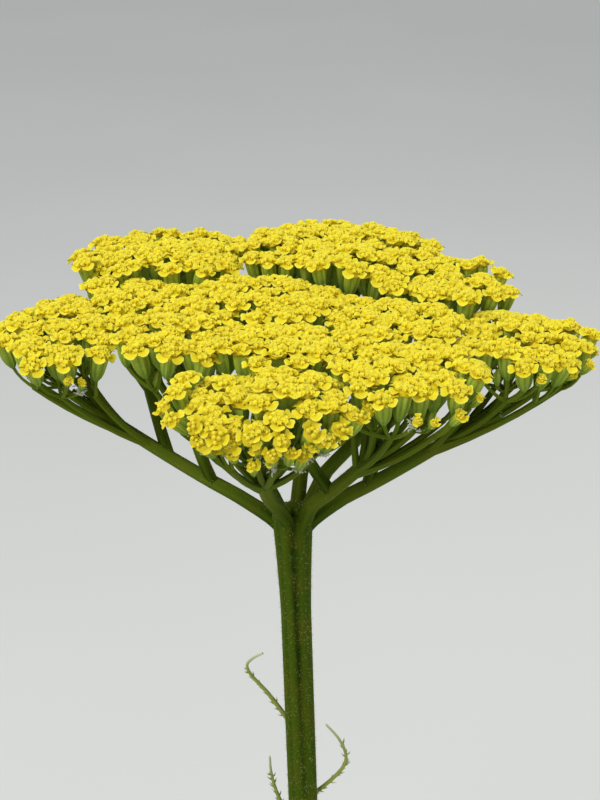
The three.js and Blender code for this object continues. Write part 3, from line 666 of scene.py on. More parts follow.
def side_lobes(head):
    """One sub-head in the middle and a ring of them round it."""
    radius, rise = head["radius"], head["rise"]
    lobes = {"middle": {"at": (0, 0, rise + 4), "half": (0.42 * radius,) * 2, "dome": 2}}
    for i in range(SIDE_RING):
        angle = 0.5 + 2 * np.pi * i / SIDE_RING
        reach = radius * (0.62 + 0.02 * wobble(i, 3))
        size = radius * (0.4 + 0.02 * wobble(i, 4))
        place = (reach * np.cos(angle), reach * np.sin(angle), rise + 1.5 * wobble(i, 5))
        lobes[f"ring_{i + 1}"] = {"at": place, "half": (size, size), "dome": 2.6}
    return lobes


def flower_places(lobes, pitch):
    """Places of the small flower heads: a slightly uneven six-sided lattice, of which each point belongs to
    the sub-head that it lies deepest in. Points just outside one are kept only if another is as near. Returns
    x and y from the node, the owner, and the share of the way from the owner's middle, 0, to its edge, 1."""
    steps = np.arange(-int(HEAD_REACH / pitch), int(HEAD_REACH / pitch) + 1)
    q, r = (grid.ravel() for grid in np.meshgrid(steps, steps))
    u = pitch * (q + r / 2 + PLACE_JITTER * wobble(5 * q + 9 * r, 0))
    v = pitch * (r * np.sqrt(3) / 2 + PLACE_JITTER * wobble(4 * q - 7 * r, 1))
    u, v = u + 1.6 * np.sin(v / 9), v + 1.6 * np.sin(u / 11 + 1)
    x, y = 0.97 * u - 0.25 * v, 0.25 * u + 0.97 * v
    middle = of_each(lobes, "at")
    half = of_each(lobes, "half")
    share = np.hypot((x[:, None] - middle[:, 0]) / half[:, 0], (y[:, None] - middle[:, 1]) / half[:, 1])
    outside = (share - 1) * np.sqrt(half.prod(1))
    owner = outside.argmin(1)
    nearest, second = np.sort(outside, 1)[:, :2].T
    kept = (nearest < -EDGE_INSET * pitch) | (second < SEAM_WIDTH * pitch)
    return x[kept], y[kept], owner[kept], share[np.arange(len(x)), owner][kept]


def clusters(at, owner):
    """Groups the small flower heads of one sub-head that lie nearest to the same point of a coarse, very
    uneven lattice. Returns each one's group, and the middle of each group."""
    steps = np.arange(-CLUSTER_STEPS, CLUSTER_STEPS + 1)
    q, r = (grid.ravel() for grid in np.meshgrid(steps, steps))
    seed_x = CLUSTER_PITCH * (q + 0.5 * (r % 2) + CLUSTER_JITTER * wobble(q + 5 * r, 6))
    seed_y = CLUSTER_PITCH * (0.87 * r + CLUSTER_JITTER * wobble(q - 3 * r, 7))
    nearest = np.hypot(at[:, :1] - seed_x, at[:, 1:2] - seed_y).argmin(1)
    _, group = np.unique(np.c_[owner, nearest], axis=0, return_inverse=True)
    group = group.ravel()
    members = np.bincount(group)
    middle = np.stack([np.bincount(group, at[:, k]) for k in range(at.shape[1])], -1) / members[:, None]
    return group, middle


def head_layout(name, lobes, pitch, random):
    """Where each small flower head of a head stands, which way it faces, its size and how young it is. Each
    cluster is a low dome, lifted a little more or less than the next."""
    x, y, owner, share = flower_places(lobes, pitch)
    group, cluster = clusters(np.c_[x, y], owner)
    aside = np.c_[x, y] - cluster[group]
    middle, dome, half, slope = (of_each(lobes, key)[owner] for key in ("at", "dome", "half", "slope"))
    ragged = of_each(lobes, "ragged", CLUSTER_LIFT)[owner]
    count = len(x)
    lift = ragged * random.normal(0, 1, len(cluster))[group] - CLUSTER_DOME * (aside ** 2).sum(1)
    z = middle[:, 2] - dome * share ** 2 + slope * (x - middle[:, 0]) + lift
    z += WAVE_HEIGHT * unevenness(x, y, WAVE_SIZE) + random.uniform(-0.22, 0.22, count)
    outward = (np.c_[x, y] - middle[:, :2]) / half
    tilt = 0.08 + 0.36 * share[:, None] ** 4
    lean = outward * tilt + 2 * CLUSTER_DOME * aside + random.normal(0, 0.06, (count, 2))
    return {
        "at": np.c_[cluster[group] + CLUSTER_DRAW * aside, z] + STEMS[name]["node"],
        "facing": unit(np.c_[lean, np.ones(count)]),
        "size": random.uniform(*FLOWER_SIZES, count) * pitch / HEAD_PITCH["main"],
        "young": np.clip(random.normal(0.04, 0.08, count) + 0.2 * share ** 6, 0, 1),
        "owner": owner,
        "share": share,
        "kind": np.full(count, OPEN),
    }


def late_flowers(name, lobes, tiers, random):
    """Young flower heads that hang back under the rim of a sub-head, each tier along an arc of its edge."""
    found = []
    names = list(lobes)
    for lobe_name, first_degrees, last_degrees, drop, outness, count, size in tiers:
        lobe = lobes[lobe_name]
        angle = np.radians(np.linspace(first_degrees, last_degrees, count)) + random.normal(0, 0.05, count)
        outward = np.c_[np.cos(angle), np.sin(angle)]
        inset = outness + random.normal(0, 0.03, (count, 1))
        fall = drop * (0.5 + 0.5 * np.sin(np.pi * (np.arange(count) + 0.5) / count))
        z = lobe["at"][2] - lobe["dome"] - fall + random.uniform(-0.7, 0.7, count)
        found.append({
            "at": np.c_[np.array(lobe["at"][:2]) + outward * lobe["half"] * inset, z] + STEMS[name]["node"],
            "facing": unit(np.c_[outward * random.uniform(0.5, 1.2, (count, 1)), np.ones(count)]),
            "size": size * random.uniform(0.85, 1.15, count),
            "young": random.uniform(0.25, 0.85, count),
            "owner": np.full(count, names.index(lobe_name)),
            "share": np.ones(count),
            "kind": np.full(count, LATE),
        })
    return found


def closed_buds(flowers, lobes, name, random):
    """Green buds that never opened: some of the small flower heads away from the rim have one below and
    beside them, under the canopy."""
    has_bud = random.uniform(0, 1, len(flowers["size"])) < BUD_SHARE
    chosen = np.flatnonzero(has_bud & (flowers["share"] < 0.6))
    count = len(chosen)
    middle = of_each(lobes, "at")[flowers["owner"][chosen]] + STEMS[name]["node"]
    inward = (middle - flowers["at"][chosen]) * [1, 1, 0]
    aside = np.c_[random.normal(0, 1, (count, 2)), random.uniform(*BUD_HEIGHTS, count)]
    at = flowers["at"][chosen] + 0.1 * inward + aside
    return {
        "at": at,
        "facing": unit(flowers["facing"][chosen] + random.normal(0, 0.18, (count, 3))),
        "size": random.uniform(*BUD_SIZES, count),
        "young": np.ones(count),
        "owner": flowers["owner"][chosen],
        "share": np.zeros(count),
        "kind": np.full(count, BUD),
    }


# The sub-head, the first and the last direction of the arc in degrees from +X, the drop below the rim in the
# middle of the arc, the share of the way out to the rim, how many, and their size.
LATE_TIERS = [
    ("front_left", -168, -10, 0.4, 1, 10, 0.8),
    ("front_left", -130, -54, 2.8, 1, 8, 0.72),
    ("front_left", -116, -62, 5.6, 0.95, 6, 0.62),
    ("left", -70, -60, 4, 1, 2, 0.5),
    ("front_right", -85, -30, 3.6, 0.96, 4, 0.5),
    ("right", -80, -15, 2, 0.95, 4, 0.48),
    ("middle_right", -80, -60, 2.5, 1, 2, 0.5),
    ("back", 50, 110, 3, 0.95, 3, 0.8),
]
random = np.random.default_rng(23)
heads = {}
for name in STEMS:
    lobes = MAIN_LOBES if name == "main" else side_lobes(SIDE_HEADS[name])
    opened = head_layout(name, lobes, HEAD_PITCH[name], random)
    late = late_flowers(name, lobes, LATE_TIERS, random) if name == "main" else []
    all_kinds = [opened, *late, closed_buds(opened, lobes, name, random)]
    flowers = {key: np.concatenate([kind[key] for kind in all_kinds]) for key in opened}
    flowers["turn"] = random.uniform(0, 2 * np.pi, len(flowers["size"]))
    flowers["tone"] = random.uniform(0, 1, len(flowers["size"]))
    heads[name] = {"lobes": lobes, "flowers": flowers}


def branch_curves(stem, lobes):
    """Where each sub-head's branch runs: an arch to its hub from the node, or from a share of another branch.
    It may bow to one side."""
    node = np.array(stem["node"], float)
    curves = {}
    for i, (name, lobe) in enumerate(lobes.items()):
        x, y, z = lobe["at"]
        hub = node + [x * HUB_INSET, y * HUB_INSET, z - HUB_DROP]
        if "on" in lobe:
            bearer, share = lobe["on"]
            start = points_along(curves[bearer], [share * lengths_along(curves[bearer])[-1]])[0]
        else:
            start = node + [0, 0, 1.3 * (i % 4) - 2.4]
        bow = np.array([lobe.get("bow", 0), 0, 0])
        curves[name] = arch(start, start + (hub - start) * [0.4, 0.4, 0.3] + bow, hub, BRANCH_POINTS)
    return curves


def branch_surfaces(stem, lobes, curves):
    """Ribbed tubes that thin towards the hub. Those from the node rise out of the stem's middle first and
    swell as they do, so that its ribs flow into them, and follow their arch from its eighth point on."""
    node = np.array(stem["node"], float)
    paths, foot_radii, swelling = [], [], []
    axis = stem_path(stem, np.linspace(1, 0, 500))
    along = np.linspace(0, 1, BRANCH_ROWS)
    for name, lobe in lobes.items():
        curve = curves[name]
        foot_radii.append(stem["top_radius"] * (SIDE_BRANCH_FOOT if "on" in lobe else BRANCH_FOOT))
        if "on" in lobe:
            paths.append(spline(curve[::2], count=BRANCH_ROWS))
            swelling.append(np.ones(BRANCH_ROWS))
        else:
            outward = (curve[BRANCH_POINTS // 2 - 1] - node) * [1, 1, 0]
            outward = stem["top_radius"] * outward / max(np.linalg.norm(outward), 1)
            roots = points_along(axis, lobe.get("roots", ROOT_DEPTHS)) + np.outer(ROOT_SPREAD, outward)
            paths.append(spline([*roots, *curve[7::3]], count=BRANCH_ROWS))
            swelling.append(mix(0.6, 1, np.clip(along / 0.28, 0, 1)))
    along = along[:, None]
    furrow = ((1 + np.cos(BRANCH_RIBS * turns(BRANCH_COLUMNS) + 2 * along)) / 2) ** 2
    foot_radii = np.array(foot_radii)[:, None, None]
    paleness = 0.22 * np.clip((along - 0.26) / 0.25, 0, 1)
    thickness = np.array(swelling)[..., None] * mix(foot_radii, BRANCH_TIP * stem["top_radius"], along ** 0.8)
    radii = thickness * (1 - BRANCH_FURROW_DEPTH * furrow)
    # The look's second number carries painted shade into the branches' furrows as well.
    return tubes(paths, radii, BRANCH_COLUMNS, (along, 1 - 0.8 * furrow, paleness))


def cluster_stalks(flowers, curves):
    """Each cluster shares a stalk, which leaves the branch the sooner the further out the cluster is. It
    curves up to a parting below the cluster, and a finer stalk arches from there to the foot of each cup.
    Late flowers and buds stand on the stalk of the nearest open ones."""
    at, owner = flowers["at"], flowers["owner"]
    opened = flowers["kind"] == OPEN
    group, middle = clusters(at[opened], owner[opened])
    lobe_of_group = np.zeros(len(middle), int)
    lobe_of_group[group] = owner[opened]
    gap = at[:, None, :2] - at[opened, :2]
    group = group[np.hypot(gap[..., 0], gap[..., 1]).argmin(1)]
    curve = np.array(list(curves.values()))[lobe_of_group]
    hub = curve[:, -1]
    outness = np.hypot(*(middle - hub)[:, :2].T)
    start = curve[np.arange(len(curve)), -2 - np.clip(outness / STALK_SPREAD, 1, 9).astype(int)]
    crown = np.full(len(middle), -np.inf)
    np.maximum.at(crown, group, at[:, 2])
    parting = middle + 0.3 * (hub - middle)
    parting[:, 2] = np.minimum(crown - PARTING_DEPTH, hub[:, 2] + 4)
    reach = parting - start
    rows, columns = CLUSTER_STALK_GRID
    first = arch(start, start + reach * [0.58, 0.58, 0.42], parting, rows)
    foot = at - flowers["facing"] * (CUP_DROP + CUP_LENGTH * flowers["size"])[:, None]
    fork = parting[group]
    thick = np.linspace(*CLUSTER_STALK_RADII, rows)[:, None]
    thin = np.array(FLOWER_STALK_RADII)[:, None]
    second = arch(fork - unit(reach)[group] * 0.6, fork + (foot - fork) * [0.7, 0.7, 0.35], foot, len(thin))
    return (tubes(first, thick, columns, (0.5, 0.75, 0.25)),
            tubes(second, thin, FLOWER_STALK_COLUMNS, (0.5, 0.9, 0.35)))


def wool_tufts(places, random):
    """Tufts of white wool: each hair is an arc that starts near the tuft's middle and curls over sideways."""
    count = TUFT_HAIRS * len(places)
    middle = np.repeat(places, TUFT_HAIRS, 0) + random.normal(0, TUFT_SPREAD, (count, 3))
    away = unit(random.normal(0, 1, (count, 3)))
    start = middle + 0.6 * away * random.uniform(0.4, 1, (count, 1))
    end = start + random.uniform(0.3, 0.9, (count, 1)) * unit(away + random.normal(0, 0.9, (count, 3)))
    paths = arch(start, (start + end) / 2 + random.normal(0, 0.3, (count, 3)), end, 4)
    return tubes(paths, np.array(TUFT_HAIR_RADII)[:, None], 3, (0.5, 1, 1))


for name, stem in STEMS.items():
    head = heads[name]
    head["curves"] = branch_curves(stem, head["lobes"])
    head["branches"] = branch_surfaces(stem, head["lobes"], head["curves"])
    stalks = cluster_stalks(head["flowers"], head["curves"])
    branches = new_piece(f"{name}_branches", [head["branches"], *stalks], stem_skin)
    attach(branches, "root")
    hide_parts(f"{name}_stem")

# Hairs stand on the stems and the branches, most densely on the top of the main stem.
flowers = heads["main"]["flowers"]
woolly = (flowers["kind"] == LATE) & (flowers["tone"] > 0.6)
cup_feet = flowers["at"] - flowers["facing"] * (CUP_DROP + 0.8 * CUP_LENGTH * flowers["size"])[:, None]
for name, stem in STEMS.items():
    many = MAIN_HAIRINESS if name == "main" else 1
    stalk = stalk_surfaces[name]
    axils = np.array([curve[-2] for curve in heads[name]["curves"].values()])
    coats = [
        hairs(stalk, HAIR_COUNTS["top"] * many, HAIR_LENGTH, random, stem["node"][2] - WOOLLY_TOP),
        hairs(stalk, HAIR_COUNTS["stem"], HAIR_LENGTH, random, SOIL_CROWN_LEVEL + 2),
        hairs(heads[name]["branches"], HAIR_COUNTS["branches"] * many, BRANCH_HAIR_LENGTH, random),
    ]
    tufts = wool_tufts(np.concatenate([axils, cup_feet[woolly]]) if name == "main" else axils[:3], random)
    for kind, coat, material in (("hairs", coats, hair), ("wool", [tufts], wool)):
        down = new_piece(f"{name}_{kind}", coat, material)
        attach(down, "root")


# The cups: each small flower head stands in an urn of overlapping green bracts, which are ribbed, slightly
# woolly and edged with a dark line. It narrows into the stalk.
CUP_GRID = {"rim": (6, 14), "inner": (4, 6)}  # rows and columns of its surface
CUP_HEIGHTS = (0, 0.12, 0.35, 0.7, 1)
CUP_RADII = (0.48, 0.88, 1.28, 1.52, 1.5)
KEEL_HEIGHT = 0.09  # of each bract, as a share of the radius
BUD_CLOSING = 0.8


def on_flowers(local, flowers, chosen):
    """Carries points round the origin, the same ones or each flower head's own, to the chosen flower
    heads."""
    local = local.reshape(-1, local.shape[-3] * local.shape[-2], 3) * flowers["size"][chosen, None, None]
    axes = axes_along(flowers["facing"][chosen], flowers["turn"][chosen])
    return placed(local, axes, flowers["at"][chosen])


def cups(flowers, chosen, rows, columns):
    """Urns: the radius follows a profile of the height, and swells at the keel of each bract and sinks
    between them as a cosine of the angle does. Over a bud the bracts close: the radius falls with the height
    to the fifth power."""
    height = np.linspace(0, 1, rows)[:, None]
    profile = np.interp(height, CUP_HEIGHTS, CUP_RADII)
    angle = turns(columns)
    bract = np.cos(columns / 2 * angle) * np.ones((rows, 1))
    closing = BUD_CLOSING * (flowers["kind"][chosen] == BUD)[:, None, None] * height ** 5
    radius = profile * (1 + KEEL_HEIGHT * bract) * (1 - closing)
    z = -CUP_DROP - CUP_LENGTH * (1 - height)
    points = on_flowers(round_z(radius, angle, z), flowers, chosen)
    look = stacked(height, 0.5 + 0.5 * bract, flowers["tone"][chosen, None, None])
    return points, grid_faces(rows, columns, chosen.sum()), look.reshape(-1, 3)


# Bracts of the cup: green at the foot and yellow-green at the rim, with darker edges and a bloom of short
# wool.
bract_skin, place, dress = new_material("woolly bracts", {"Roughness": 0.7, "Specular IOR Level": 0.2})
look = add_node(bract_skin, "Attribute", {}, attribute_name="look")
parts = add_node(bract_skin, "SeparateColor", {"Color": look}, None)
rising = add_node(bract_skin, "MixRGB", {"Fac": parts["Red"], "Color1": "#6b8a20", "Color2": "#adbd3c"})
edge = add_node(bract_skin, "MapRange", {
    "Value": parts["Green"], "From Min": 0.0, "From Max": 0.5, "To Min": 0.6, "To Max": 0.0,
})
edged = add_node(bract_skin, "MixRGB", {"Fac": edge, "Color1": rising, "Color2": "#567312"})
fuzz = add_node(bract_skin, "TexNoise", {"Vector": place, "Scale": 1 / (0.7 * MM), "Detail": 4})
woolly = add_node(bract_skin, "MapRange", {"Value": fuzz, "From Min": 0.56, "From Max": 0.8, "To Max": 0.4})
downy = add_node(bract_skin, "MixRGB", {"Fac": woolly, "Color1": edged, "Color2": "#b9c492"})
dress(downy, "Base Color")
felt = add_node(bract_skin, "Bump", {"Height": fuzz, "Strength": 0.5, "Distance": 0.15 * MM})
dress(felt, "Normal")

for name, head in heads.items():
    flowers = head["flowers"]
    on_rim = flowers["share"] > (0.6 if name == "main" else 0.75)
    urns = [cups(flowers, chosen, *CUP_GRID[kind]) for kind, chosen in (("rim", on_rim), ("inner", ~on_rim))]
    made = new_piece(f"{name}_cups", urns, bract_skin)
    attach(made, "root")
    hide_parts(f"{name}_stem")


# The florets: each small flower head has five broad, notched rays, which curl back, round a cushion of
# tubular florets with five reflexed lobes. The young ones in the middle and under the rims are still round
# buds.
RAYS = 5
DISC_FLORETS = {"main": 13, "left": 7, "right": 7}
LATE_FLORETS = 5
LATE_RAY_SHARE = 0.6  # of a late flower head's rays that have grown
DISC_RADIUS = {OPEN: 1.6, LATE: 1.15}  # of the outermost florets' middles
RAY_THICKNESS = 0.12
RAY_START = 1.3  # of the claw from the middle of its flower head
RAY_REACH = (0, 0.54, 1.18, 1.62)  # from the claw to the tip
RAY_HALF_WIDTH = (0.4, 0.95, 1.22, 0.95)
RAY_LEVEL = (-0.5, 0.1, 0.1, 0.02)  # heights from the claw to the tip
RAY_DROOPING = (-0.55, -0.02, -0.46, -0.62)
RAY_UPRIGHT = (-0.5, 0.15, 0.6, 0.95)
RAY_HOLLOW = (0.42, 0.5)  # rise of its sides as a share of its half-width, in an old one and in a young one
RAY_NOTCH = 0.14
FLORET_POINTS = 17  # of a disc floret: its foot, ten at its edge, five shoulders and its throat
FLORET_DEPTH = 1.1  # of its foot below its edge
TIP_RADIUS, TIP_HEIGHT = (0.5, 0.78), (0.05, 0.02)  # in a closed floret and in an open one
NOTCH_RADIUS, NOTCH_HEIGHT = (0.5, 0.38), (0.05, 0)
SHOULDER_RADIUS, SHOULDER_HEIGHT = (0.36, 0.4), (0.48, 0.24)


def rays(flowers, chosen, random):
    """Closed blades: four rings of eight points, from the claw to the tip with its three teeth, hollow like a
    shell, with raised sides. On the rim of a sub-head they droop over the edge of the cup, inside it they lie
    nearly level, and young ones stand up round the buds."""
    flower = np.repeat(np.flatnonzero(chosen), RAYS)
    spin = flowers["turn"][flower] + np.tile(turns(RAYS), chosen.sum())
    kept = (flowers["kind"][flower] == OPEN) | (random.uniform(0, 1, len(flower)) < LATE_RAY_SHARE)
    flower, spin = flower[kept], spin[kept]
    count = len(flower)
    young = np.clip(flowers["young"][flower] + random.normal(0, 0.12, count), 0, 1)[:, None, None]
    length = random.uniform(0.9, 1.15, (count, 1, 1)) * (1 - 0.2 * young)
    out = np.array(RAY_REACH)[:, None]
    level, drooping, upright = np.array([RAY_LEVEL, RAY_DROOPING, RAY_UPRIGHT])
    droop = np.clip(1.6 * flowers["share"][flower] - 0.6, 0, 1)[:, None, None]
    high = mix(mix(level[:, None], drooping[:, None], droop), upright[:, None], young)
    wide = np.array(RAY_HALF_WIDTH)[:, None] * random.uniform(0.9, 1.1, (count, 1, 1))
    across = np.array([1, 0.5, 0, -0.5, -1, -0.5, 0, 0.5])
    upper = np.array([0, 1, 1, 1, 0, -1, -1, -1])
    notch = np.array([0, 0, 0, RAY_NOTCH])[:, None] * (np.abs(across) == 0.5)
    pull = np.array([0, 0, 0.1, 0.2])[:, None] * across ** 2
    hollow = mix(*RAY_HOLLOW, young) * across ** 2
    x = RAY_START + length * (out - pull - notch) - 0.35 * young
    y = wide * across + 0 * young
    z = length * high + hollow * wide - 0.8 * notch + RAY_THICKNESS / 2 * upper
    local = stacked(x, y, z).reshape(count, -1, 3) * flowers["size"][flower, None, None]
    axes = axes_along(flowers["facing"][flower], spin + random.normal(0, 0.14, count))
    points = placed(local, axes, flowers["at"][flower])
    # The look's first number paints shade into the claw and the hollow middle of each ray, and a highlight on
    # its sides and tip.
    along = np.array([0.3, 0.36, 0.52, 1])[:, None] + 0.3 * across ** 2
    tone = random.uniform(0, 1, (count, 1, 1))
    look = stacked(along, young, tone).reshape(-1, 3)
    return points, grid_faces(4, 8, count), look


def cushions(flowers, chosen):
    """The low dome under the disc florets, which fills the mouth of each cup: three rings and flat ends."""
    rings = round_z(np.array([1.5, 1.9, 1.1])[:, None], turns(7), np.array([-0.9, -0.4, 0.35])[:, None])
    # Their look is low, so the petals paint the cushions in shade, deep yellow under the florets.
    return on_flowers(rings, flowers, chosen), grid_faces(3, 7, chosen.sum()), np.array([0.12, 0.2, 0.5])


def disc_florets(flowers, chosen, each, disc_radius, random):
    """Tubular florets: a foot, a ring of ten corners that are tips and notches by turns, a ring of five
    shoulders and the throat. In a bud the rings draw together over it as a ball. They stand on each cup in a
    sunflower spiral."""
    flower = np.repeat(np.flatnonzero(chosen), each)
    count = len(flower)
    order = np.tile(np.arange(each), chosen.sum())
    outness = np.sqrt((order + 0.5) / each)
    direction = order * GOLDEN_ANGLE + random.normal(0, 0.15, count)
    axes = axes_along(flowers["facing"][flower], flowers["turn"][flower])
    side = np.cos(direction)[:, None] * axes[:, 0] + np.sin(direction)[:, None] * axes[:, 1]
    size = flowers["size"][flower]
    rise = 0.35 + 0.5 * (1 - outness ** 2) + random.normal(0, 0.15, count)
    middles = flowers["at"][flower] + (disc_radius * outness * size)[:, None] * side
    middles += (rise * size)[:, None] * axes[:, 2]
    facing = unit(axes[:, 2] + (0.5 * outness)[:, None] * side + random.normal(0, 0.1, (count, 3)))
    young = flowers["young"][flower]
    opening = np.clip(1.2 - 1.5 * young - 0.25 * (1 - outness) + random.normal(0, 0.18, count), 0, 1)[:, None]
    edge_angle = turns(10)
    is_tip = np.arange(10) % 2 == 0
    edge_radius = np.where(is_tip, mix(*TIP_RADIUS, opening), mix(*NOTCH_RADIUS, opening))
    edge_z = np.where(is_tip, mix(*TIP_HEIGHT, opening), mix(*NOTCH_HEIGHT, opening))
    throat_z = mix(0.66, random.uniform(-0.15, 0.15, (count, 1)), opening)
    edge = round_z(edge_radius, edge_angle, edge_z)
    crown = round_z(mix(*SHOULDER_RADIUS, opening), edge_angle[::2], mix(*SHOULDER_HEIGHT, opening))
    foot = np.zeros((count, 1, 3)) + [0, 0, -FLORET_DEPTH]
    throat = np.zeros((count, 1, 3))
    throat[..., 2] = throat_z
    local = np.concatenate([foot, edge, crown, throat], 1)
    local *= (size * random.uniform(0.86, 1.08, count))[:, None, None]
    points = placed(local, axes_along(facing, random.uniform(0, 2 * np.pi, count)), middles)
    tip = 1 + 2 * np.arange(5)
    before, after = 1 + (tip + 8) % 10, 1 + tip % 10
    shoulder, next_shoulder = 11 + np.arange(5), 11 + (np.arange(5) + 1) % 5
    bottom, top = np.zeros(5, int), np.full(5, FLORET_POINTS - 1)
    corners = [(bottom, tip, before), (bottom, after, tip), (shoulder, before, tip), (shoulder, tip, after),
               (shoulder, after, next_shoulder), (shoulder, next_shoulder, top)]
    one = np.concatenate([np.stack(trio, -1) for trio in corners])
    faces = (one + FLORET_POINTS * np.arange(count)[:, None, None]).reshape(-1, 3)
    # The look's first number paints shade and highlight: darkest at the foot, half at the notches, palest at
    # the lobe tips as a painted highlight. The throat is darker both for its own deep yellow and for painted
    # shade.
    depth = np.concatenate([[0], np.where(is_tip, 1, 0.5), np.full(5, 0.85)])
    throat_tone_and_shade = mix(0.7, random.uniform(0.15, 0.55, (count, 1)), opening)
    depth = np.c_[np.tile(depth, (count, 1)), throat_tone_and_shade]
    tone = random.uniform(0, 1, (count, 1))
    look = stacked(depth, 1 - opening, tone).reshape(-1, 3)
    return points, [faces], look


# Petals: soft, matt and a little translucent. Painted shade darkens the feet, notches and throats of the
# florets, the claws and hollows of the rays and the cushions to a deep yellow. A painted highlight makes the
# tips of the lobes and the rims of the rays palest. The throat's deep yellow is partly its own colour, and a
# bud is duller than an open floret.
petal, place, dress = new_material("yellow petals", {
    "Roughness": 0.6, "Specular IOR Level": 0.2, "Subsurface Weight": 0.2, "Subsurface Scale": 0.6 * MM,
    "Subsurface Radius": (1.0, 0.8, 0.1),
})
look = add_node(petal, "Attribute", {}, attribute_name="look")
parts = add_node(petal, "SeparateColor", {"Color": look}, None)
# Painted shade: a low first number of the look darkens towards deep yellow in feet, throats, claws and
# cushions.
inner = add_node(petal, "MapRange", {"Value": parts["Red"], "From Min": 0.0, "From Max": 0.55})
body = add_node(petal, "MixRGB", {"Fac": inner, "Color1": "#c5af0c", "Color2": "#edd81c"})
# Painted highlight: where the look's first number passes 0.6, on lobe tips and ray rims, it pales to the rim
# colour.
outer = add_node(petal, "MapRange", {"Value": parts["Red"], "From Min": 0.6, "From Max": 1.0})
painted_highlight_and_shade = add_node(petal, "MixRGB", {"Fac": outer, "Color1": body, "Color2": "#f8eb54"})
unripe = add_node(petal, "Math", {0: parts["Green"], 1: 0.35}, operation="MULTIPLY")
ripening = add_node(petal, "MixRGB", {"Fac": unripe, "Color1": painted_highlight_and_shade, "Color2": "#cfb71c"})
bright = add_node(petal, "MapRange", {"Value": parts["Blue"], "To Min": 0.9, "To Max": 1.04})
varied = add_node(petal, "HueSaturation", {"Color": ripening, "Value": bright})
dress(varied, "Base Color")
grain = add_node(petal, "TexNoise", {"Vector": place, "Scale": 1 / (0.25 * MM), "Detail": 2})
skin = add_node(petal, "Bump", {"Height": grain, "Strength": 0.25, "Distance": 0.05 * MM})
dress(skin, "Normal")

for name, head in heads.items():
    flowers = head["flowers"]
    for number, lobe_name in enumerate(head["lobes"]):
        opened, late = ((flowers["owner"] == number) & (flowers["kind"] == kind) for kind in (OPEN, LATE))
        blooms = [
            rays(flowers, opened | late, random),
            cushions(flowers, opened | late),
            disc_florets(flowers, opened, DISC_FLORETS[name], DISC_RADIUS[OPEN], random),
            disc_florets(flowers, late, LATE_FLORETS, DISC_RADIUS[LATE], random),
        ]
        bloom = new_piece(f"{name}_bloom_{lobe_name}", blooms, petal)
        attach(bloom, "root")
        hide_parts(f"{name}_florets_{lobe_name}")


# The leaves: ferny and twice cut. The fronds grow from the crown of the clump, the stem leaves clasp the
# stems, and close under the main head three leaves are no more than curled, toothed ribs.
FRONDS = 14
FROND_TURN = 3.8
FROND_RING = (24, 43)  # distance of the first and the last from the middle of the pot
FROND_REACH = (84, 122)
FROND_RISE = (172, 52)
FROND_SLOPE_DEGREES = (80, 58)
FROND_BLADE_FROM = 0.32  # as a share of its rib
FROND_PAIRS = 15
FROND_HALF_WIDTH = 25
FROND_TEETH = 7
PETIOLE = (1.6, 0.9)  # half the width and half the depth of its foot
STEM_LEAF_PETIOLE = (1.3, 0.7)
STEM_LEAF_PLACE = (0.24, 0.66)  # of the lowest and the highest along the stem
STEM_LEAF_LENGTH = (74, 28)
STEM_LEAF_HALF_WIDTH = (17, 7)
STEM_LEAF_BLADE_FROM = 0.12
STEM_LEAF_PAIRS = (12, 8)
STEM_LEAF_TEETH = 5
BLADE_END = 0.95  # as a share of the rib
LEAFLET_SWEEP_DEGREES = 32
LEAFLET_LIFT_DEGREES = 14
LEAFLET_STAGGER = 0.12  # of the two of a pair, as a share of the distance between pairs
LEAFLET_NOTCH = 0.24  # its half-width there, as a share of that at a tooth
LEAF_THICKNESS = 0.5
CURL_ROWS = 30  # of a curled leaf's rib
CURL_TEETH = 30
CURL_TOOTHED = (0.12, 0.76)  # the stretch of it that has teeth
CURL_RIB_RADII = (0.6, 0.26)
CURL_TOOTH_RADII = (0.24, 0.2, 0.03)
CURLED_LEAVES = [  # knots of the rib from the node
    [[0, -1, -57], [-5.3, -1.4, -47.5], [-9.2, -1.9, -41.4], [-9.8, -2.3, -38.6], [-8.4, -2.8, -36.4],
     [-6.2, -3.2, -34.7]],
    [[2, -1, -82], [9.9, -1.4, -73.2], [12.4, -1.9, -68.6], [12.7, -2.3, -65.2], [11, -2.8, -59.9],
     [8, -3.2, -55.2]],
    [[0.5, -2, -89], [-3.6, -2.4, -76.5], [-4.8, -3, -69.5], [-5, -3.5, -64.5]],
]


def leaf_rib(path, side, petiole):
    """A flattened tube along the rib, half as thick at the tip, and its directions: ahead, across the blade
    and up."""
    ahead = unit(np.gradient(path, axis=0))
    up = unit(np.cross(ahead, side))
    across = np.cross(up, ahead)
    rows, columns = len(path), 8
    share = np.linspace(0, 1, rows)[:, None]
    angle = turns(columns)
    wide = petiole[0] * mix(1, 0.28, share) * np.cos(angle)
    deep = petiole[1] * mix(1, 0.4, share) * np.sin(angle)
    groove = 0.3 * petiole[1] * (np.abs(angle - np.pi / 2) < 0.1)
    points = path[:, None] + wide[..., None] * across[:, None] + (deep - groove)[..., None] * up[:, None]
    look = stacked(0 * share, 1 + 0 * angle, 0.6)
    return (points.reshape(-1, 3), grid_faces(rows, columns), look.reshape(-1, 3)), ahead, across, up


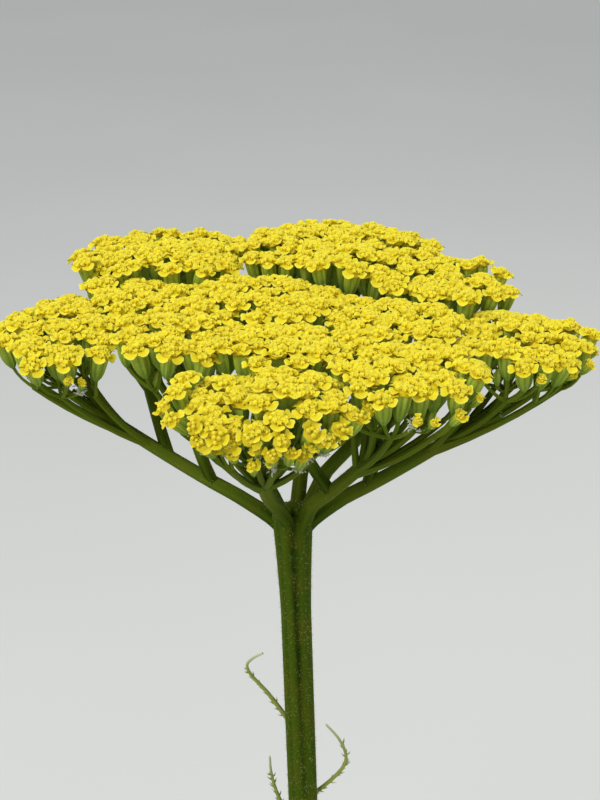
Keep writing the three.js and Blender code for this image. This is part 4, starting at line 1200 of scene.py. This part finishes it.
def leaflets(at, out, forward, up, length, belly, teeth, hand, random):
    """Toothed leaflets with a diamond section. Rows are notches and tips of teeth by turns. The middle line
    leaves the rib along out, rises with the lift and bends forward with the square of its share. The
    half-width follows a sine of the share, is a quarter of it at a notch, and a tooth's tip is pushed towards
    the end of the leaflet."""
    count, rows = len(at), 2 * teeth + 2
    s = np.append(np.linspace(0, 0.94, rows - 1), 1)
    is_tip = np.arange(rows) % 2 == 1
    is_tip[-1] = False
    envelope = np.sin(np.pi * mix(0.14, 0.93, s)) ** 0.7
    envelope[-1] = 0.05
    notch = np.where(is_tip, 1, LEAFLET_NOTCH)
    lift = np.radians(LEAFLET_LIFT_DEGREES)
    reach = length[:, None] * s * np.cos(lift)
    rise = length[:, None] * s * np.sin(lift) * (1.35 - 0.7 * s)
    bend = 0.1 * length[:, None] * s ** 2
    half = belly[:, None] * envelope * notch * random.uniform(0.85, 1.12, (count, rows))
    push = is_tip * 0.5 * length[:, None] / teeth
    edge = np.array([1, 0, -1, 0])
    face = np.array([0, 1, 0, -1]) * -hand[:, None, None]
    on_edge = np.abs(edge)
    thick = LEAF_THICKNESS / 2 * mix(1, 0.5, s)[:, None]
    x = reach[..., None] + push[..., None] * on_edge
    y = half[..., None] * edge + bend[..., None]
    z = rise[..., None] + face * thick + 0.22 * half[..., None] * on_edge
    points = at[:, None, None] + x[..., None] * out[:, None, None] + y[..., None] * forward[:, None, None]
    points = points + z[..., None] * up[:, None, None]
    tone = random.uniform(0, 1, (count, 1, 1))
    look = stacked(s[:, None], 1 - on_edge, tone)
    return points.reshape(-1, 3), grid_faces(rows, 4, count), look.reshape(-1, 3)


def leaf(path, side, petiole, blade_from, pairs, half_width, teeth, random):
    """A whole leaf: the rib, leaflets in pairs from where the blade starts to near its tip, and one at the
    end. Their length follows a sine, and the two of a pair stand a little apart along the rib."""
    rib, ahead, across, up = leaf_rib(path, side, petiole)
    rib_length = lengths_along(path)[-1]
    share = (np.arange(pairs) + 0.5) / pairs
    hand = np.repeat([1.0, -1.0], pairs)
    stagger = hand * LEAFLET_STAGGER * (BLADE_END - blade_from) / pairs
    station = np.tile(mix(blade_from, BLADE_END, share), 2) + stagger
    length = half_width * np.sin(np.pi * mix(0.2, 0.92, np.tile(share, 2))) ** 0.8
    length *= random.uniform(0.9, 1.06, 2 * pairs)
    spacing = rib_length * (BLADE_END - blade_from) / pairs
    rows = np.arange(len(path))
    at, along, aside, above = (
        read_between(table, rows, station * rows[-1]) for table in (path, ahead, across, up))
    sweep = np.radians(LEAFLET_SWEEP_DEGREES + random.normal(0, 3, (2 * pairs, 1)))
    out = hand[:, None] * aside * np.cos(sweep) + along * np.sin(sweep)
    forward = along * np.cos(sweep) - hand[:, None] * aside * np.sin(sweep)
    belly = np.minimum(0.28 * length, 0.48 * spacing)
    sides = leaflets(at, out, forward, above, length, belly, teeth, hand, random)
    last = int(BLADE_END * rows[-1])
    end = leaflets(path[last][None], ahead[last][None], across[last][None], up[last][None],
                   np.array([0.07 * rib_length + 3]), np.array([0.5 * spacing]), 4, np.array([-1.0]), random)
    return [rib, sides, end]


# Grey-green leaf: matt and downy, paler along the ribs, with the tone drifting from leaflet to leaflet.
blade, place, dress = new_material("downy leaf", {
    "Roughness": 0.7, "Sheen Weight": 0.08, "Specular IOR Level": 0.3,
})
look = add_node(blade, "Attribute", {}, attribute_name="look")
parts = add_node(blade, "SeparateColor", {"Color": look}, None)
tinted = add_node(blade, "MixRGB", {"Fac": parts["Blue"], "Color1": "#486a2f", "Color2": "#6f8f48"})
vein = add_node(blade, "Math", {0: parts["Green"], 1: 0.4}, operation="MULTIPLY")
veined = add_node(blade, "MixRGB", {"Fac": vein, "Color1": tinted, "Color2": "#93a966"})
mottle = add_node(blade, "TexNoise", {"Vector": place, "Scale": 1 / (1.6 * MM), "Detail": 5})
mottling = add_node(blade, "MapRange", {"Value": mottle, "From Min": 0.4, "From Max": 0.75, "To Max": 0.35})
mottled = add_node(blade, "MixRGB", {"Fac": mottling, "Color1": veined, "Color2": "#93a873"})
dress(mottled, "Base Color")
down = add_node(blade, "Bump", {"Height": mottle, "Strength": 0.4, "Distance": 0.15 * MM})
dress(down, "Normal")

random = np.random.default_rng(5)
for i in range(FRONDS):
    share = i / (FRONDS - 1)
    azimuth = FROND_TURN + i * GOLDEN_ANGLE
    outward = np.array([np.cos(azimuth), np.sin(azimuth), 0])
    root = outward * (mix(*FROND_RING, share) + 1.5 * wobble(i, 0))
    root[2] = soil_level(root[0], root[1])
    reach = mix(*FROND_REACH, share) + 8 * wobble(i, 1)
    rise = mix(*FROND_RISE, share) + 8 * wobble(i, 2)
    slope = np.radians(mix(*FROND_SLOPE_DEGREES, share))
    pull = 0.62 * np.hypot(reach, rise)
    control = root + pull * np.cos(slope) * outward + [0, 0, pull * np.sin(slope)]
    curve = arch(root, control, root + reach * outward + [0, 0, rise], 6)
    path = spline([root + [0, 0, -STEM_DEPTH], root + [0, 0, 2], *curve[1:]], count=46)
    side = np.array([-outward[1], outward[0], 0])
    surfaces = leaf(path, side, PETIOLE, FROND_BLADE_FROM, FROND_PAIRS, FROND_HALF_WIDTH, FROND_TEETH, random)
    frond = new_piece(f"fern_leaf_{i + 1:02d}", surfaces, blade)
    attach(frond, "root")
    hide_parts(f"frond_{i + 1:02d}")

for name, stem in STEMS.items():
    surfaces = []
    for i in range(stem["leaves"]):
        share = i / (stem["leaves"] - 1)
        azimuth = stem["turn"] + i * GOLDEN_ANGLE
        outward = np.array([np.cos(azimuth), np.sin(azimuth), 0])
        foot = stem_path(stem, [mix(*STEM_LEAF_PLACE, share)])[0]
        length = mix(*STEM_LEAF_LENGTH, share)
        control = foot + length * (0.42 * outward + [0, 0, 0.5])
        path = arch(foot, control, foot + length * (0.92 * outward + [0, 0, 0.42]), 30)
        side = np.array([-outward[1], outward[0], 0])
        half_width = mix(*STEM_LEAF_HALF_WIDTH, share)
        pairs = round(mix(*STEM_LEAF_PAIRS, share))
        surfaces += leaf(path, side, STEM_LEAF_PETIOLE, STEM_LEAF_BLADE_FROM, pairs, half_width,
                         STEM_LEAF_TEETH, random)
    leaves = new_piece(f"{name}_leaves", surfaces, blade)
    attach(leaves, "root")
    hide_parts(f"{name}_stem")


def curled_leaf(knots, random):
    """A rib that thins to its tip, with forward-pointing teeth, like cones, mostly on its outer side. The
    tip, a quarter of it, is bare."""
    path = spline(knots, count=CURL_ROWS)
    share = np.linspace(0, 1, CURL_ROWS)
    rib = tubes(path[None], mix(*CURL_RIB_RADII, share)[None, :, None], 8, (share[:, None], 1, 0.9))
    rows = np.arange(CURL_ROWS)
    station = np.linspace(*CURL_TOOTHED, CURL_TEETH) * rows[-1]
    at = read_between(path, rows, station)
    ahead = read_between(unit(np.gradient(path, axis=0)), rows, station)
    across, other = crosswise(ahead, (0.1, -1, 0.1))
    bulge = path[CURL_ROWS // 2] - path[[0, -1]].mean(0)
    outer = np.sign((bulge * across[CURL_TEETH // 2]).sum())
    hand = outer * np.where(np.arange(CURL_TEETH) % 4 == 3, -1, 1)[:, None]
    lean = unit(0.9 * ahead + hand * across + 0.6 * random.normal(0, 1, (CURL_TEETH, 1)) * other)
    size = random.uniform(0.5, 1.7, (CURL_TEETH, 1))
    tips = np.stack([at, at + 0.55 * size * lean, at + size * lean + 0.3 * size * ahead], 1)
    whiteness = np.array([0.5, 0.7, 1])[:, None]
    teeth = tubes(tips, np.array(CURL_TOOTH_RADII)[:, None], 4, (whiteness, 0.5, 1))
    return [rib, teeth]


# Young leaf tissue: soft yellow-green, whitened towards the tips of the teeth by down.
young_blade, place, dress = new_material("young leaf", {"Roughness": 0.7})
look = add_node(young_blade, "Attribute", {}, attribute_name="look")
parts = add_node(young_blade, "SeparateColor", {"Color": look}, None)
mottle = add_node(young_blade, "TexNoise", {"Vector": place, "Scale": 1 / (0.9 * MM), "Detail": 4})
tender = add_node(young_blade, "MixRGB", {"Fac": mottle, "Color1": "#6f8028", "Color2": "#a9ab55"})
tip = add_node(young_blade, "MapRange", {
    "Value": parts["Red"], "From Min": 0.72, "From Max": 1.0, "To Max": 0.7,
})
whitened = add_node(young_blade, "MixRGB", {"Fac": tip, "Color1": tender, "Color2": "#c9ceab"})
dress(whitened, "Base Color")

node = np.array(STEMS["main"]["node"], float)
ribs = [part for knots in CURLED_LEAVES for part in curled_leaf(node + knots, random)]
curls = new_piece("main_curled_leaves", ribs, young_blade)
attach(curls, "root")
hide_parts("main_stem")


# The studio: a plain pale floor, a soft sky, a large soft light from the front left and a weaker one from the
# right. The camera looks down at the main head from where the photograph was taken.
CAMERA_AIM = (0, 18, 521.4)
CAMERA_DISTANCE = 240
CAMERA_ELEVATION_DEGREES = 27
CAMERA_LENS = 54
SKY_STRENGTH = 0.62
LIGHTS = {  # place, width and watts
    "key_light": ((-750, -700, 1750), 900, 19),
    "fill_light": ((1300, 400, 1300), 1400, 7),
}
FLOOR_REACH = 60000  # from the middle to each edge
FLOOR_LEVEL = -0.5
FLOOR_LINES = 9  # of tile edges each way

ground, place, dress = new_material("studio floor", {"Roughness": 0.9, "Specular IOR Level": 0.1})
cloud = add_node(ground, "TexNoise", {"Vector": place, "Scale": 1 / (900 * MM), "Detail": 2})
paper = add_node(ground, "MixRGB", {"Fac": cloud, "Color1": "#deded9", "Color2": "#eae9e4"})
dress(paper, "Base Color")
lines = np.linspace(-FLOOR_REACH, FLOOR_REACH, FLOOR_LINES)
corners = stacked(lines, lines[:, None], FLOOR_LEVEL).reshape(-1, 3)
tiles = grid_faces(FLOOR_LINES, FLOOR_LINES, around=False, caps=False)
floor = new_piece("floor", [(corners, tiles, np.zeros(3))], ground)
floor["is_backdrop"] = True

world = bpy.data.worlds.new("soft sky")
world.use_nodes = True
sky = world.node_tree.nodes["Background"]
sky.inputs["Color"].default_value = linear("#e9eef2")
sky.inputs["Strength"].default_value = SKY_STRENGTH
bpy.context.scene.world = world
bpy.context.scene.view_settings.view_transform = "Standard"

aim = MM * Vector(CAMERA_AIM)
for name, (place, width, watts) in LIGHTS.items():
    light = bpy.data.lights.new(name, "AREA")
    light.size = MM * width
    light.energy = watts
    lamp = bpy.data.objects.new(name, light)
    lamp.location = MM * np.array(place)
    lamp.rotation_euler = (aim - lamp.location).to_track_quat("-Z", "Y").to_euler()
    bpy.context.scene.collection.objects.link(lamp)

elevation = np.radians(CAMERA_ELEVATION_DEGREES)
back = Vector((0, -np.cos(elevation), np.sin(elevation)))
camera_data = bpy.data.cameras.new("camera")
camera_data.lens = CAMERA_LENS
camera_data.clip_start = 0.01
camera = bpy.data.objects.new("camera", camera_data)
camera.location = aim + MM * CAMERA_DISTANCE * back
camera.rotation_euler = (-back).to_track_quat("-Z", "Y").to_euler()
bpy.context.scene.collection.objects.link(camera)
bpy.context.scene.camera = camera

low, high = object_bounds()
